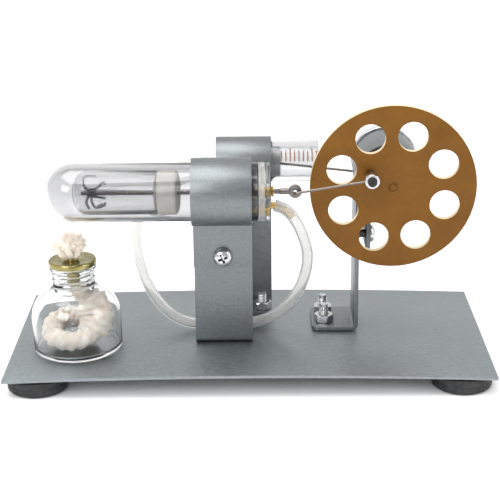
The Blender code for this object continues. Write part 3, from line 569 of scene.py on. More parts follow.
def sweep_into(shape, points, radius, sides=12, caps=True, wobble=None):
    """Add a round rod along a path to a bmesh. wobble(i, angle) scales its radius."""
    points = [Vector(p) for p in points]
    rings = []
    for i, (spot, (a, b)) in enumerate(zip(points, frames_along(points))):
        reach = radius[i] if isinstance(radius, (list, tuple)) else radius
        ring = []
        for j in range(sides):
            angle = 2 * pi * j / sides
            scale = wobble(i, angle) if wobble else 1.0
            ring.append(shape.verts.new(spot + (a * cos(angle) + b * sin(angle)) * reach * scale))
        rings.append(ring)
    for upper, lower in zip(rings, rings[1:]):
        bridge(shape, upper, lower)
    if caps:
        shape.faces.new(rings[0])
        shape.faces.new(list(reversed(rings[-1])))
    return rings


def pipe_into(shape, points, outer, inner, sides=24):
    """Add a pipe with a wall to a bmesh."""
    out = sweep_into(shape, points, outer, sides, False)
    hole = sweep_into(shape, points, inner, sides, False)
    for a, b in ((out[0], hole[0]), (out[-1], hole[-1])):
        for j in range(sides):
            k = (j + 1) % sides
            shape.faces.new((a[j], a[k], b[k], b[j]))


def cut(target, tools, bevel=0.0):
    """Cut cutters out of an object for good, then soften the new edges."""
    for tool in tools:
        step = target.modifiers.new("cut", "BOOLEAN")
        step.operation = "DIFFERENCE"
        step.solver = "EXACT"
        step.object = tool
    if bevel:
        edge = target.modifiers.new("edge", "BEVEL")
        edge.width = bevel * MM
        edge.segments = 2
        edge.limit_method = "ANGLE"
        edge.angle_limit = radians(40)
    bpy.context.view_layer.update()
    made = bpy.data.meshes.new_from_object(target.evaluated_get(bpy.context.evaluated_depsgraph_get()))
    target.modifiers.clear()
    old = target.data
    target.data = made
    bpy.data.meshes.remove(old)
    for tool in tools:
        bpy.data.objects.remove(tool, do_unlink=True)
    smooth(made)


def cutter(shape, matrix=None):
    """A plain object that is removed again after its cut."""
    return solid("cutter", shape, matrix)


# Hose

def plate_top(x):
    """Height of the crowned plate's top."""
    return PLATE_END_Z + PLATE_CROWN * (1 - (x / (PLATE_LENGTH / 2)) ** 2)


def hose_route():
    """The hose's centre line: from the nozzle down, over the plate and up to the syringe's tip."""
    low = plate_top(0.0) + GAP + HOSE_RADIUS
    return [(7.8, -18.0, NOZZLE_Z), (10.4, -18.0, NOZZLE_Z - 1.0), (13.0, -17.6, NOZZLE_Z - 3.6),
            (15.3, -16.6, 46.0), (17.0, -14.6, 40.8), (17.7, -12.5, 35.6), (17.1, -10.2, 29.8),
            (15.2, -7.6, 23.4), (12.0, -4.6, 17.4), (7.3, -1.6, 12.4), (1.0, 0.4, low + 0.3),
            (-7.6, 1.1, low + 0.05), (-16.4, 0.3, low + 0.1), (-22.2, 0.2, 11.0), (-26.4, 1.6, 13.6),
            (-30.2, 4.6, 17.2), (-33.2, 8.4, 22.0), (-35.4, 12.4, 27.6), (-36.2, 16.2, 33.6),
            (-35.4, 19.4, 39.8), (-32.8, 21.7, 45.8), (-28.2, 22.8, 51.0), (-22.2, 23.0, 54.5),
            (-16.2, 23.0, 55.9), (-10.9, 23.0, 56.0)]


def hose():
    """The silicone hose, open at both ends, with the brass nozzle inside its first stretch."""
    route = smooth_route(hose_route(), 1.0)
    shape = bmesh.new()
    pipe_into(shape, route, HOSE_RADIUS, HOSE_BORE, 28)
    made = piece("silicone_hose", shape, "hose", "base", "air_hose")
    points = smooth_route(hose_route(), 1.3)[:6]
    inside = [Vector((-3.6, HOT_Y, points[0].z)), Vector((2.0, HOT_Y, points[0].z))]
    shape = bmesh.new()
    pipe_into(shape, inside + points, 1.0, 0.6, 24)
    piece("brass_nozzle", shape, "brass", "base", "hose_nozzle")


# Plate, feet and brackets

def plate():
    """The base sheet: crowned, with sheared edges."""
    shape = bmesh.new()
    columns, rows = 72, 2
    for level in (0.0, -PLATE_THICK):
        for i in range(columns + 1):
            x = PLATE_LENGTH * (i / columns - 0.5)
            for j in range(rows + 1):
                shape.verts.new((x, PLATE_DEPTH * (j / rows - 0.5), plate_top(x) + level))
    shape.verts.ensure_lookup_table()
    size = (columns + 1) * (rows + 1)

    def at(level, i, j):
        return shape.verts[level * size + i * (rows + 1) + j]

    for i in range(columns):
        for j in range(rows):
            shape.faces.new((at(0, i, j), at(0, i + 1, j), at(0, i + 1, j + 1), at(0, i, j + 1)))
            shape.faces.new((at(1, i, j), at(1, i, j + 1), at(1, i + 1, j + 1), at(1, i + 1, j)))
        for j in (0, rows):
            shape.faces.new((at(0, i, j), at(1, i, j), at(1, i + 1, j), at(0, i + 1, j)))
    for i in (0, columns):
        for j in range(rows):
            shape.faces.new((at(0, i, j), at(0, i, j + 1), at(1, i, j + 1), at(1, i, j)))
    made = piece("sheet_base", shape, "sheet", None, "base_plate")
    cut(made, [], 0.18)
    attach(made, "base")


def feet():
    """Four round rubber feet with a groove round the side and a shallow hollow below."""
    profile = [(0, 4.7), (8.5, 4.7), (8.85, 4.6), (9.05, 4.35), (9.1, 4.0), (9.1, 2.7), (8.98, 2.55),
               (8.98, 2.35), (9.1, 2.2)]
    profile += arc((7.9, 1.2), 1.2, 0.0, -pi / 2, 6)
    profile += [(5.5, 0.0), (5.0, 0.35), (2.0, 0.35), (1.6, 0.0), (0, 0)]
    for row, y in (("front", -26.2), ("rear", 26.2)):
        for side, x in (("left", -63.6), ("right", 63.6)):
            lathe(f"rubber_foot_{row}_{side}", profile, "rubber", "base", f"foot_{row}_{side}", "Z",
                  (x, y, 0), 72)


def rounded_path(points, radius, steps=8):
    """A path in two dimensions with its corners rounded."""
    path = [Vector(points[0])]
    for before, corner, after in zip(points, points[1:], points[2:]):
        corner = Vector(corner)
        back = (Vector(before) - corner).normalized()
        ahead = (Vector(after) - corner).normalized()
        turn = pi - back.angle(ahead)
        if turn < radians(20):
            path.append(corner)
            continue
        reach = radius * tan(turn / 2)
        middle = corner + (back + ahead).normalized() * (radius / cos(turn / 2))
        first = corner + back * reach - middle
        last = corner + ahead * reach - middle
        for i in range(steps + 1):
            path.append(middle + first.slerp(last, i / steps).normalized() * radius)
    path.append(Vector(points[-1]))
    return path


def bracket(name, place, turn, radius, offset, loop_z, foot_end, foot_z):
    """One strip bent into a foot, a post, a loop and a tail, with sheared and slightly rounded edges."""
    thick, width, tail_end, bend = 1.2, 17.6, 33.6, 1.4
    middle = radius - thick / 2
    start = pi + acos(min(1.0, offset / middle))
    end = -acos((TAIL_STEP - offset) / middle)
    loop = arc((offset, loop_z), middle, start, end, 72)
    path = rounded_path([(-foot_end, foot_z), (0.0, foot_z)] + loop + [(TAIL_STEP, tail_end)], bend)
    corner = 2.2
    ease = [corner * (1 - cos(k * pi / 16)) for k in range(9)]
    spots = [Vector((-foot_end + s, foot_z)) for s in ease] + path[1:]
    shape = bmesh.new()
    rows = []
    for i, spot in enumerate(spots):
        before, after = spots[max(0, i - 1)], spots[min(len(spots) - 1, i + 1)]
        along = (after - before).normalized()
        normal = Vector((-along.y, along.x)) * thick / 2
        inset = corner * (1 - sin(i * pi / 16)) if i < len(ease) else 0.0
        row = []
        for offset_sign in (1, -1):
            for side in (-1, 1):
                edge = spot + normal * offset_sign
                row.append(shape.verts.new((edge.x, side * (width / 2 - inset), edge.y)))
        rows.append(row)
    bar_into(shape, rows)
    matrix = Matrix.Translation(Vector(place)) @ Matrix.Rotation(turn, 4, "Z")
    made = piece(name + "_strap", shape, "strap", None, name + "_bracket", matrix=matrix)
    cut(made, [], 0.16)
    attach(made, "base")
    return matrix


def thread(top, bottom, pitch=0.5):
    """The outline of a rolled thread, listed downwards."""
    points = []
    height = top
    while height - pitch > bottom:
        points += [(THREAD_RADIUS, height), (THREAD_RADIUS - 0.22, height - pitch * 0.5)]
        height -= pitch
    return points


def screw(name, length, matrix, node):
    """A pan-head screw with a cross recess and a rolled thread."""
    dome = [(0, 2.0), (0.9, 1.95), (1.7, 1.78), (2.3, 1.42), (2.72, 0.92), (2.88, 0.4), (2.9, 0.12),
            (2.78, 0.0)]
    shank = [(THREAD_RADIUS, 0.0), (THREAD_RADIUS, -0.3)] + thread(-0.4, 0.4 - length)
    shank += [(1.15, -length), (0, -length)]
    made = lathe(name, dome + shank, "zinc", None, node, "Z", (0, 0, 0), 40, matrix=matrix, angle=50)
    tools = []
    for turn in (0.35, 0.35 + pi / 2):
        shape = bmesh.new()
        for level, half, wide in ((2.4, 1.75, 0.42), (0.5, 0.95, 0.26)):
            for x, y in ((-half, -wide), (half, -wide), (half, wide), (-half, wide)):
                shape.verts.new((x, y, level))
        shape.verts.ensure_lookup_table()
        v = shape.verts
        shape.faces.new((v[0], v[1], v[2], v[3]))
        shape.faces.new((v[7], v[6], v[5], v[4]))
        for i in range(4):
            j = (i + 1) % 4
            shape.faces.new((v[i], v[4 + i], v[4 + j], v[j]))
        tools.append(cutter(shape, matrix @ Matrix.Rotation(turn, 4, "Z")))
    cut(made, tools)
    axis = matrix.to_3x3() @ Vector((0, 0, 1))
    top = matrix.translation

    def in_recess(centre, normal):
        rise = (centre - top).dot(axis)
        return rise > 0.45 and abs(normal.dot(axis)) < 0.75 and ((centre - top) - axis * rise).length < 1.8

    # the recess walls get the dark zinc copy, painted shade
    second_look(made, "recess", in_recess)
    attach(made, "base")


def nut(name, matrix, node):
    """A chamfered hexagon nut with a countersunk bore, centred on its place."""
    shape = bmesh.new()
    rings = []
    steps = 36
    apothem = 2.728
    for z, reach, hexagonal in ((NUT_HALF, 1.75, 0), (NUT_HALF, 2.62, 0), (0.86, 3.2, 1), (-0.86, 3.2, 1),
                                (-NUT_HALF, 2.62, 0), (-NUT_HALF, 1.75, 0), (-0.9, 1.5, 0), (0.9, 1.5, 0)):
        ring = []
        for j in range(steps):
            a = 2 * pi * j / steps
            edge = apothem / cos((a + pi / 6) % (pi / 3) - pi / 6)
            r = min(edge, reach) if hexagonal else min(reach, edge - 0.02)
            level = z
            if hexagonal:
                level = copysign(NUT_HALF - 0.42 * max(0.0, edge - 2.7) / 0.45, z)
            ring.append(shape.verts.new((r * cos(a), r * sin(a), level)))
        rings.append(ring)
    for i in range(len(rings)):
        bridge(shape, rings[i], rings[(i + 1) % len(rings)])
    piece(name, shape, "zinc", "base", node, matrix=matrix, angle=25)


def brackets():
    """The three brackets, with their clamp screws and nuts and the screws and nuts that hold their feet.

    A row: name, place, turn, the loop's radius, offset and height, the foot's length and height, the foot
    screws' place along the foot, and each one's label and place across it.
    """
    loop = HOT_RADIUS + GAP + STRAP
    small = BARREL_RADIUS + GAP + STRAP
    half = STRAP / 2
    foot_mid = plate_top(0.0) + 0.85
    plan = (("hot", (-7.75, -10.55, 0), -pi / 2, loop, 7.45, AXIS_Z, 8.6, foot_mid, -5.1,
             (("left", -5.6), ("right", 5.6))),
            ("cold", (-1.57, 19.95, 0), pi / 2, small, 3.05, COLD_Z, 8.8, foot_mid, -5.1,
             (("right", -5.6), ("left", 5.6))),
            ("flywheel", (AXLE_X - loop + half, 6.8, 0), 0.0, loop, loop - half, AXLE_Z, 13.8,
             plate_top(19.5) + 0.85, -9.9, (("front", -3.4), ("rear", 4.6))))
    side = Matrix.Rotation(pi / 2, 4, "Y")
    flip = Matrix.Rotation(pi, 4, "X")
    for name, place, turn, radius, offset, loop_z, foot_end, foot_z, screw_x, holes in plan:
        matrix = bracket(name, place, turn, radius, offset, loop_z, foot_end, foot_z)
        seat = Matrix.Translation((TAIL_STEP + half + GAP, 0, CLAMP_Z))
        behind = Matrix.Translation((-half - GAP - NUT_HALF, 0, CLAMP_Z))
        screw(f"{name}_clamp_pan_screw", 9.0, matrix @ seat @ side, f"{name}_clamp_screw")
        nut(f"{name}_clamp_hex_nut", matrix @ behind @ side, f"{name}_clamp_nut")
        for label, y in holes:
            spot = matrix @ Vector((screw_x, y, 0))
            under = plate_top(spot.x) - PLATE_THICK - GAP
            screw(f"{name}_foot_pan_screw_{label}", 14.5 - under,
                  Matrix.Translation((spot.x, spot.y, under)) @ flip, f"{name}_foot_screw_{label}")
            swing = Matrix.Rotation(turn + (0.3 if label in ("left", "front") else 0.0), 4, "Z")
            nut(f"{name}_foot_hex_nut_{label}",
                Matrix.Translation((spot.x, spot.y, foot_z + half + 0.15 + NUT_HALF)) @ swing,
                f"{name}_foot_nut_{label}")


# Hot cylinder and displacer

def tube_piece(name, radius, wall, length, dome, look, body, node, origin):
    """A test tube with a fire-polished rim."""
    inner = radius - wall
    quarter = [pi / 2 * i / 18 for i in range(19)]
    outside = [(radius * cos(a), -length + dome - dome * sin(a)) for a in quarter]
    inside = [(inner * cos(a), -length + dome - (dome - wall) * sin(a)) for a in reversed(quarter)]
    outside[-1] = (0.0, -length)
    inside[0] = (0.0, -length + wall)
    rim = arc((radius - wall / 2, -wall * 0.15), wall / 2, pi, 0.0, 6)
    lathe(name, outside + inside + rim, look, body, node, "X", origin, 96, True)


def hot_cylinder():
    """The hot cylinder: the glass tube, its seal, its end plug and the brass guide."""
    tube_piece("hot_glass_tube", HOT_RADIUS, 1.0, 62.25, 8.4, "tube", "base", "hot_tube",
               (2.75, HOT_Y, AXIS_Z))
    axis = (0, HOT_Y, AXIS_Z)
    ribs = [(8.62 + 0.08 * cos(i * pi), 4.9 - 1.85 * i / 12) for i in range(13)]
    lathe("seal_ring", ribs + [(7.6, 3.05), (7.6, 4.9)], "hose", "base", "tube_seal", "X", axis, 72, True)
    plug = [(1.7, 6.4), (8.5, 6.4), (8.5, 5.2), (7.25, 5.2), (7.25, -3.5), (1.7, -3.5)]
    lathe("clear_end_plug", eased(plug, 0.3, True), "plastic", "base", "tube_end_plug", "X", axis, 72, True)
    guide = [(0.82, 7.5), (1.6, 7.5), (1.6, 7.1), (1.3, 7.0), (1.3, 6.9), (1.6, 6.8), (1.6, 6.7), (1.4, 6.7),
             (1.4, -4.2), (0.82, -4.2)]
    lathe("brass_rod_guide", eased(guide, 0.15, True), "brass", "base", "rod_guide", "X", axis, 48, True)


def displacer():
    """The displacer: glass, ceramic plug, the rod with its eye, and the wire clip on the rod's end."""
    tube_piece("displacer_glass", 6.5, 0.8, 24.6, 4.2, "inner_tube", "displacer", "displacer_tube",
               (-26.9, HOT_Y, AXIS_Z))
    axis = (0, HOT_Y, AXIS_Z)
    plug = [(1.05, -20.95), (6.65, -20.95), (6.65, -26.6), (5.4, -26.6), (5.4, -27.6), (1.05, -27.6)]
    lathe("displacer_ceramic_plug", eased(plug, 1.2, True, 6), "ceramic", "displacer", "displacer_plug",
          "X", axis, 64, True)
    shape = bmesh.new()
    lathe_into(shape, eased(post(0.75, 12.3, -49.0), 0.2), "X", axis, 28)
    ring = eased(band(1.95, 0.5, 0.9, -0.95), 0.45, True, 5)
    lathe_into(shape, ring, "Y", (EYE_X, HOT_Y, AXIS_Z), 48, True)
    lathe_into(shape, eased([(0.9, 12.4), (0.9, 9.5), (0.7, 9.1)], 0.2), "X", axis, 28)
    piece("rod_with_eye", shape, "rod", "displacer", "displacer_rod")
    shape = bmesh.new()
    collar = eased(band(1.5, 0.85, -44.6, -47.0), 0.2, True)
    lathe_into(shape, collar, "X", axis, 32, True)
    up = [(-46.6, 0, 1.28), (-47.6, 0, 1.4), (-48.0, 0, 2.4), (-48.0, 0, 4.3), (-47.4, 0, 4.85),
          (-44.4, 0, 4.85)]
    rear = [(x, 0.97 * z, -0.24 * z) for x, _, z in up]
    down = [(-46.8, -0.9, -0.9), (-47.2, -1.8, -2.4), (-46.4, -2.5, -4.1)]
    front = [(-46.0, -0.9, -0.9), (-45.6, -2.2, -2.2), (-44.8, -3.0, -3.2), (-44.0, -3.2, -3.4),
             (-41.8, -3.0, -2.7)]
    leaf = [(-46.8, -0.95, 0.85), (-45.6, -1.1, 1.35), (-44.3, -1.1, 1.7), (-43.4, -1.1, 2.3),
            (-42.9, -1.1, 3.2), (-42.2, -1.1, 3.4), (-41.8, -1.1, 2.8)]
    short = [(-44.8, -1.0, -0.8), (-43.2, -1.3, -1.1), (-42.0, -1.5, -1.2)]
    ticks = [[(x, -3.1, z), (x + 0.15, -2.9, z + 0.75)]
             for x, z in ((-43.7, -3.3), (-42.8, -3.0), (-41.9, -2.7))]
    for line in [up, rear, down, front, leaf, short] + ticks:
        path = smooth_route([(x, HOT_Y + y, AXIS_Z + z) for x, y, z in line], 0.3)
        sweep_into(shape, path, 0.38, 12)
    piece("spring_clip", shape, "clip", "displacer", "displacer_clip")


# Power cylinder

def power_cylinder():
    """The power cylinder: a glass syringe barrel, its piston, the wrist pin and the rear connecting rod."""
    axis = (0, COLD_Y, COLD_Z)
    left, right, tip = -10.2, 22.3, -14.8
    barrel = [(BARREL_RADIUS, right), (BARREL_RADIUS, left), (1.0, left), (0.9, tip), (0.5, tip),
              (0.5, left + 1.6), (4.8, left + 1.6), (4.8, right)]
    lathe("glass_barrel", eased(barrel, 0.45, True, 4), "barrel", "base", "syringe_barrel", "X", axis, 96,
          True)
    cup = [(4.74, 10.0), (4.74, -3.5), (0, -3.5), (0, -1.3), (3.4, -1.3), (3.4, 10.0)]
    lathe("ground_piston", eased(cup, 0.3, True), "frost", "power_piston", "piston", "X", axis, 72, True)
    lathe("piston_wrist_pin", eased(post(0.6, 4.5, -4.5), 0.15), "zinc", "power_piston", "wrist_pin", "Y",
          (WRIST_X, COLD_Y, COLD_Z), 24)
    wrist = Vector((WRIST_X, COLD_Y, COLD_Z))
    crank = Vector((REAR_PIN[0], COLD_Y, REAR_PIN[1]))
    way = (crank - wrist).normalized()
    shape = bmesh.new()
    for place, outer, hole in ((wrist, 1.6, 0.67), (crank, 1.9, 1.15)):
        lathe_into(shape, eased(band(outer, hole, 0.7, -0.7), 0.3, True), "Y", place, 32, True)
    sweep_into(shape, [wrist + way * 1.1, crank - way * 1.4], 0.4, 16)
    piece("piston_rod_wire", shape, "wire", "piston_link", "piston_conrod")
    barrel_scale()


def barrel_scale():
    """Nine plain tick marks on the front of the barrel, two of them longer."""
    shape = bmesh.new()
    for i in range(9):
        x = 10.47 + 1.385 * i
        top = 53 if i in (2, 7) else 45
        bend = [radians(14 + (top - 14) * k / 10) for k in range(11)]
        rows = []
        for a in bend:
            row = []
            for reach in (6.63, 6.58):
                for side in (-0.2, 0.2):
                    row.append(shape.verts.new((x + side, COLD_Y - reach * cos(a),
                                                COLD_Z + reach * sin(a))))
            rows.append(row)
        bar_into(shape, rows)
    piece("barrel_scale", shape, "ink", "base", None)


# Axle, flywheel and cranks

def axle_group():
    """The axle in its housing, the flywheel, both cranks and the front connecting rod."""
    middle = (AXLE_X, 0, AXLE_Z)
    front, rear = -2.0, 15.6
    housing = [(HOT_RADIUS, rear), (HOT_RADIUS, front), (5.3, front), (5.3, front + 4.2), (3.6, front + 4.2),
               (3.6, rear - 4.2), (5.3, rear - 4.2), (5.3, rear)]
    lathe("axle_housing", eased(housing, 0.35, True), "aluminium", "base", "bearing_housing", "Y", middle,
          72, True)
    for label, y in (("front", front), ("rear", rear - 4.0)):
        ring = [(5.0, y + 4.0), (5.0, y), (4.2, y), (4.1, y + 0.3), (3.0, y + 0.3), (2.9, y), (1.56, y),
                (1.56, y + 4.0), (2.9, y + 4.0), (3.0, y + 3.7), (4.1, y + 3.7), (4.2, y + 4.0)]
        lathe(f"ball_bearing_{label}", eased(ring, 0.12, True), "zinc", "base", f"bearing_{label}", "Y",
              middle, 56, True)
    shaft = [(0, AXLE_REAR), (AXLE_RADIUS, AXLE_REAR), (AXLE_RADIUS, WHEEL_FRONT - 0.1),
             (1.2, WHEEL_FRONT - 0.1), (1.15, WHEEL_FRONT + 0.15), (1.05, WHEEL_FRONT + 0.15),
             (1.0, WHEEL_FRONT - 0.15), (0, WHEEL_FRONT - 0.15)]
    made = lathe("steel_axle", eased(shaft, 0.12), "zinc", "rotor", "axle", "Y", middle, 40)
    second_look(made, "paint", lambda centre, normal: centre.y < WHEEL_FRONT + 0.2)

    wheel = band(WHEEL_RADIUS, 1.56, WHEEL_BACK, WHEEL_FRONT)
    made = lathe("drilled_flywheel", wheel, "paint", None, "flywheel", "Y", middle, 192, True)
    tools = []
    holes = [(*on_axle(16.28, 70.3 + 45 * i), 4.45, 64) for i in range(8)] + [(*FRONT_PIN, 1.4, 32)]
    for x, z, radius, steps in holes:
        shape = bmesh.new()
        lathe_into(shape, post(radius, -10, -16), "Y", (x, 0, z), steps)
        tools.append(cutter(shape))
    cut(made, tools, 0.12)
    # the side walls of the holes and the rim get the lighter ochre copy, a painted highlight
    second_look(made, "paint_highlight_edge", lambda centre, normal: abs(normal.y) < 0.9)
    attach(made, "rotor")

    hub = band(4.0, 1.8, WHEEL_BACK + 5.2, WHEEL_BACK + 0.3)
    made = lathe("wheel_hub", eased(hub, 0.3, True), "aluminium", None, "flywheel_hub", "Y", middle, 56,
                 True)
    shape = bmesh.new()
    grub_y = WHEEL_BACK + 2.8
    lathe_into(shape, post(1.2, 6, 2), "Z", (AXLE_X, grub_y, AXLE_Z), 24)
    cut(made, [cutter(shape)])
    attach(made, "rotor")
    shape = bmesh.new()
    lathe_into(shape, [(0, 3.5), (0.45, 3.5), (0.45, 4.3), (0.9, 4.3), (0.9, 2.1), (0, 2.1)], "Z",
               (AXLE_X, grub_y, AXLE_Z), 24)
    piece("socket_grub_screw", shape, "wire", "rotor", "hub_grub_screw")

    pin = [(0, WHEEL_BACK - 0.2), (1.1, WHEEL_BACK - 0.2), (1.1, WHEEL_FRONT - 0.3), (1.6, WHEEL_FRONT - 0.3),
           (1.6, CONROD_Y + 1.85), (1.1, CONROD_Y + 1.85), (1.1, CONROD_Y - 1.62), (1.32, CONROD_Y - 1.65),
           (1.32, CONROD_Y - 2.5), (0.45, CONROD_Y - 2.5), (0.4, CONROD_Y - 2.2), (0, CONROD_Y - 2.2)]
    made = lathe("crank_pin_front", eased(pin, 0.15), "wire", "rotor", "front_crank_pin", "Y",
                 (FRONT_PIN[0], 0, FRONT_PIN[1]), 40)
    second_look(made, "clip", lambda centre, normal: centre.y < CONROD_Y - 1.6)
    crank = Vector((FRONT_PIN[0], CONROD_Y, FRONT_PIN[1]))
    eye = Vector((EYE_X, CONROD_Y, AXIS_Z))
    way = (crank - eye).normalized()
    shape = bmesh.new()
    lathe_into(shape, eased(band(2.15, 1.17, 1.55, -1.55), 0.3, True), "Y", crank, 48, True)
    piece("link_collar", shape, "zinc", "displacer_link", "displacer_conrod")
    shape = bmesh.new()
    hook = [eye + Vector((0, 0.8, 0)), eye + Vector((0, 0.3, 0)), eye + way * 0.6, eye + way * 2.0,
            eye + way * 6.0, crank - way * 1.9]
    sweep_into(shape, smooth_route(hook, 0.3), 0.36, 16)
    piece("link_wire", shape, "wire", "displacer_link", None)

    disc = band(10.4, 1.8, AXLE_REAR, 17.8)
    lathe("crank_disc_rear", eased(disc, 0.35, True), "aluminium", "rotor", "rear_crank_disc", "Y", middle,
          96, True)
    lathe("crank_pin_rear", eased(post(1.0, 22.0, 17.8), 0.2), "zinc", "rotor",
          "rear_crank_pin", "Y", (REAR_PIN[0], 0, REAR_PIN[1]), 32)


# Burner

def random_way(rng):
    return Vector((rng.uniform(-1, 1), rng.uniform(-1, 1), rng.uniform(-1, 1)))


def strand_into(shape, path, radius, plies=3, pitch=5.0, sides=28, rough=0.16):
    """A twisted cotton strand: plies that wind round each other, with an uneven surface."""
    lengths = [0.0]
    for a, b in zip(path, path[1:]):
        lengths.append(lengths[-1] + (b - a).length)

    def wobble(i, angle):
        turn = 2 * pi * lengths[i] / pitch
        lobe = abs(cos((angle + turn) * plies / 2)) ** 0.7
        spot = path[i] * 0.9 + Vector((cos(angle), sin(angle), angle * 0.2)) * 0.9
        return 0.78 + 0.26 * lobe + rough * noise.noise(spot * 1.1) + rough * 0.6 * noise.noise(spot * 3.0)

    sweep_into(shape, path, radius, sides, True, wobble)


def fibres_into(shape, rng, starts, count, length, radius):
    """Loose fibres that leave the given points and curl away."""
    for _ in range(count):
        spot, out = rng.choice(starts)
        way = (out + random_way(rng) * 0.7).normalized()
        path = [spot.copy()]
        size = length * rng.uniform(0.5, 1.2)
        steps = 7
        for _ in range(steps):
            way = (way + random_way(rng) * 0.6).normalized()
            path.append(path[-1] + way * size / steps)
        widths = [radius * (1 - 0.6 * k / steps) for k in range(steps + 1)]
        sweep_into(shape, path, widths, 4)


def tuft_points(rng, count, centre, size):
    """Places on the upper part of an ellipsoid, each with the direction away from its centre."""
    found = []
    for _ in range(count):
        z = rng.uniform(-0.5, 1)
        a = rng.uniform(0, 2 * pi)
        r = sqrt(max(0.0, 1 - z * z))
        out = Vector((r * cos(a), r * sin(a), z))
        found.append((Vector((centre[0] + out.x * size[0], centre[1] + out.y * size[1],
                              centre[2] + out.z * size[2])), out))
    return found


def bottle_inside(z):
    """The bottle's inner radius at a height above its bottom, below the neck."""
    rise = max(0.0, z - SIDE_Z) / (NECK_Z - BOTTLE_WALL - SIDE_Z)
    return NECK_RADIUS - BOTTLE_WALL + (BOTTLE_RADIUS - NECK_RADIUS) * sqrt(max(0.0, 1 - rise ** 2))


def burner():
    """The alcohol burner, standing on the plate's slope: the bottle, its cap and the wick."""
    lean = atan(2 * PLATE_CROWN * BURNER_X / (PLATE_LENGTH / 2) ** 2)
    place = Matrix.Translation((BURNER_X, BURNER_Y, plate_top(BURNER_X) + GAP))
    matrix = place @ Matrix.Rotation(lean, 4, "Y")
    inner, bore = BOTTLE_RADIUS - BOTTLE_WALL, NECK_RADIUS - BOTTLE_WALL
    quarter = [pi / 2 * i / 16 for i in range(17)]
    outside = arc((6.35, LIP_TOP - 0.75), 0.75, pi / 2, -pi / 2, 8) + [(NECK_RADIUS, LIP_TOP - 1.75)]
    for drop in (2.7, 4.3, 5.9):
        outside += arc((6.0, LIP_TOP - drop), 0.55, pi / 2, -pi / 2, 6)
    outside += [(NECK_RADIUS, NECK_Z + 1.2), (6.15, NECK_Z + 0.6)]
    outside += [(NECK_RADIUS + (BOTTLE_RADIUS - NECK_RADIUS) * sin(a), SIDE_Z + (NECK_Z - SIDE_Z) * cos(a))
                for a in quarter]
    outside += [(BOTTLE_RADIUS, 6.0)] + arc((BOTTLE_RADIUS - 1.2, 1.2), 1.2, 0.0, -pi / 2, 8)
    outside += [(6.0, 0.0), (3.0, 0.4), (0.0, 0.5)]
    inside = [(0.0, 1.5), (4.0, 1.4), (9.5, 1.1)] + arc((inner - 1.4, 2.4), 1.4, -pi / 2, 0.0, 6)
    inside += [(bore + (inner - bore) * sin(a), SIDE_Z + (NECK_Z - BOTTLE_WALL - SIDE_Z) * cos(a))
               for a in reversed(quarter)]
    inside += [(bore, LIP_TOP - 0.4), (bore + 0.3, LIP_TOP)]
    lathe("glass_bottle", outside + inside, "bottle", "burner", "burner_bottle", "Z", (0, 0, 0), 96, True,
          matrix=matrix)
    crest = LIP_TOP + 2.6
    cap = [(1.9, crest), (1.9, crest - 0.75), (2.6, crest - 0.95), (4.6, crest - 0.85), (5.8, crest - 0.75),
           (6.6, crest - 0.6), (7.0, crest - 0.65), (7.25, crest - 1.0), (7.25, LIP_TOP + 0.3),
           (4.7, LIP_TOP + 0.3), (4.7, LIP_TOP - 1.2), (1.9, LIP_TOP - 1.2), (1.9, LIP_TOP - 5.4),
           (1.4, LIP_TOP - 5.4), (1.4, crest)]
    lathe("burner_lid", eased(cap, 0.18, True), "cap", "burner", "burner_cap", "Z", (0, 0, 0), 96, True,
          matrix=matrix)
    wick(matrix)


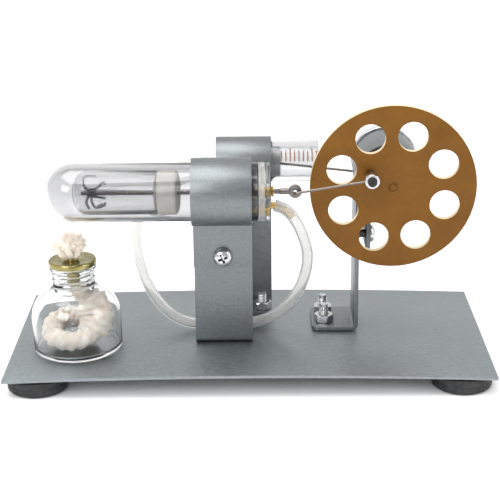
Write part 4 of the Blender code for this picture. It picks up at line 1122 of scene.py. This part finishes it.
def wick(matrix):
    """The cotton wick: a strand up the bottle, a coil on its bottom, and the tuft above the cap."""
    rng = random.Random(7)
    shape = bmesh.new()
    rise = smooth_route([(5.2, -2.0, 6.0), (6.3, -1.6, 9.5), (5.9, -0.9, 12.6), (3.9, -0.3, 15.6),
                         (1.3, 0, 18.5), (0.3, 0, 20.3), (0, 0, 21.5), (0, 0, 25.0), (0, 0, 29.2)], 0.4)
    widths = []
    for spot in rise:
        if spot.z > 17.7:  # in the neck, where it narrows to pass the cap's tube
            width = 1.15 + max(0.0, 21.3 - spot.z) * 0.52
        else:
            width = min(4.9, bottle_inside(spot.z + 2.0) - hypot(spot.x, spot.y) - GAP)
        widths.append(max(1.15, width))
    for _ in range(6):
        widths = [(a + b + c) / 3 for a, b, c in zip(widths[:1] + widths, widths, widths[1:] + widths[-1:])]
    strand_into(shape, rise, widths, 4, 9.0, 36, 0.12)
    tilt = radians(15)
    turns = []
    for k in range(150):
        t = k / 149
        a = 0.5 + 2 * pi * 1.5 * t
        r = 6.6 - 0.5 * t
        x, y, z = r * cos(a), r * sin(a), 2.4 * t - 1.0
        turns.append(Vector((-1.3 + x, -1.1 + y * cos(tilt) - z * sin(tilt),
                             6.6 + y * sin(tilt) + z * cos(tilt))))
    strand_into(shape, turns, 2.9, pitch=8.0, rough=0.2)
    starts = []
    for path, around in ((rise[:22], 3.6), (turns, 2.4)):
        for spot in path:
            out = random_way(rng).normalized()
            starts.append((spot + out * around * 0.85, out))
    fibres_into(shape, rng, starts, 260, 1.8, 0.05)

    centre = (-1.05, 0.0, 33.3)
    size = (6.6, 4.8, 4.0)
    ball = bmesh.new()
    bmesh.ops.create_icosphere(ball, subdivisions=5, radius=1.0)
    for vert in ball.verts:
        way = vert.co.normalized()
        lump = 0.30 * noise.noise(way * 1.6 + Vector((3, 1, 5))) + 0.22 * noise.noise(way * 3.7)
        lump += 0.12 * noise.noise(way * 9.0) + 0.07 * noise.noise(way * 22.0)
        swell = 0.72 + lump
        narrow = 1.0 - 0.35 * max(0.0, -way.z)
        droop = -1.1 * max(0.0, -way.x) ** 2
        vert.co = Vector((centre[0] + way.x * size[0] * swell * narrow,
                          centre[1] + way.y * size[1] * swell * narrow,
                          centre[2] + way.z * size[2] * swell + droop))
    data = bpy.data.meshes.new("ball")
    ball.to_mesh(data)
    ball.free()
    shape.from_mesh(data)
    bpy.data.meshes.remove(data)
    fibres_into(shape, rng, tuft_points(rng, 500, centre, (4.3, 3.4, 2.7)), 620, 3.4, 0.055)
    for k in range(7):
        a = 2 * pi * k / 7 + 0.3
        start = Vector((0.2 * cos(a), 0.2 * sin(a), 29.2))
        end = Vector((centre[0] + 3.6 * cos(a), 3.0 * sin(a), 34.0 + 0.9 * sin(3 * a)))
        mid = (start + end) / 2 + Vector((1.0 * cos(a), 1.0 * sin(a), -0.6))
        path = smooth_route([start, mid, end], 0.4)
        strand_into(shape, path, 0.95, 2, 2.6, 14, 0.2)
    piece("cotton_wick", shape, "cotton", "burner", "burner_wick", matrix=matrix, angle=80)


add_camera()
hose()
add_studio()
plate()
feet()
brackets()
hot_cylinder()
displacer()
power_cylinder()
axle_group()
burner()

bpy.context.view_layer.update()
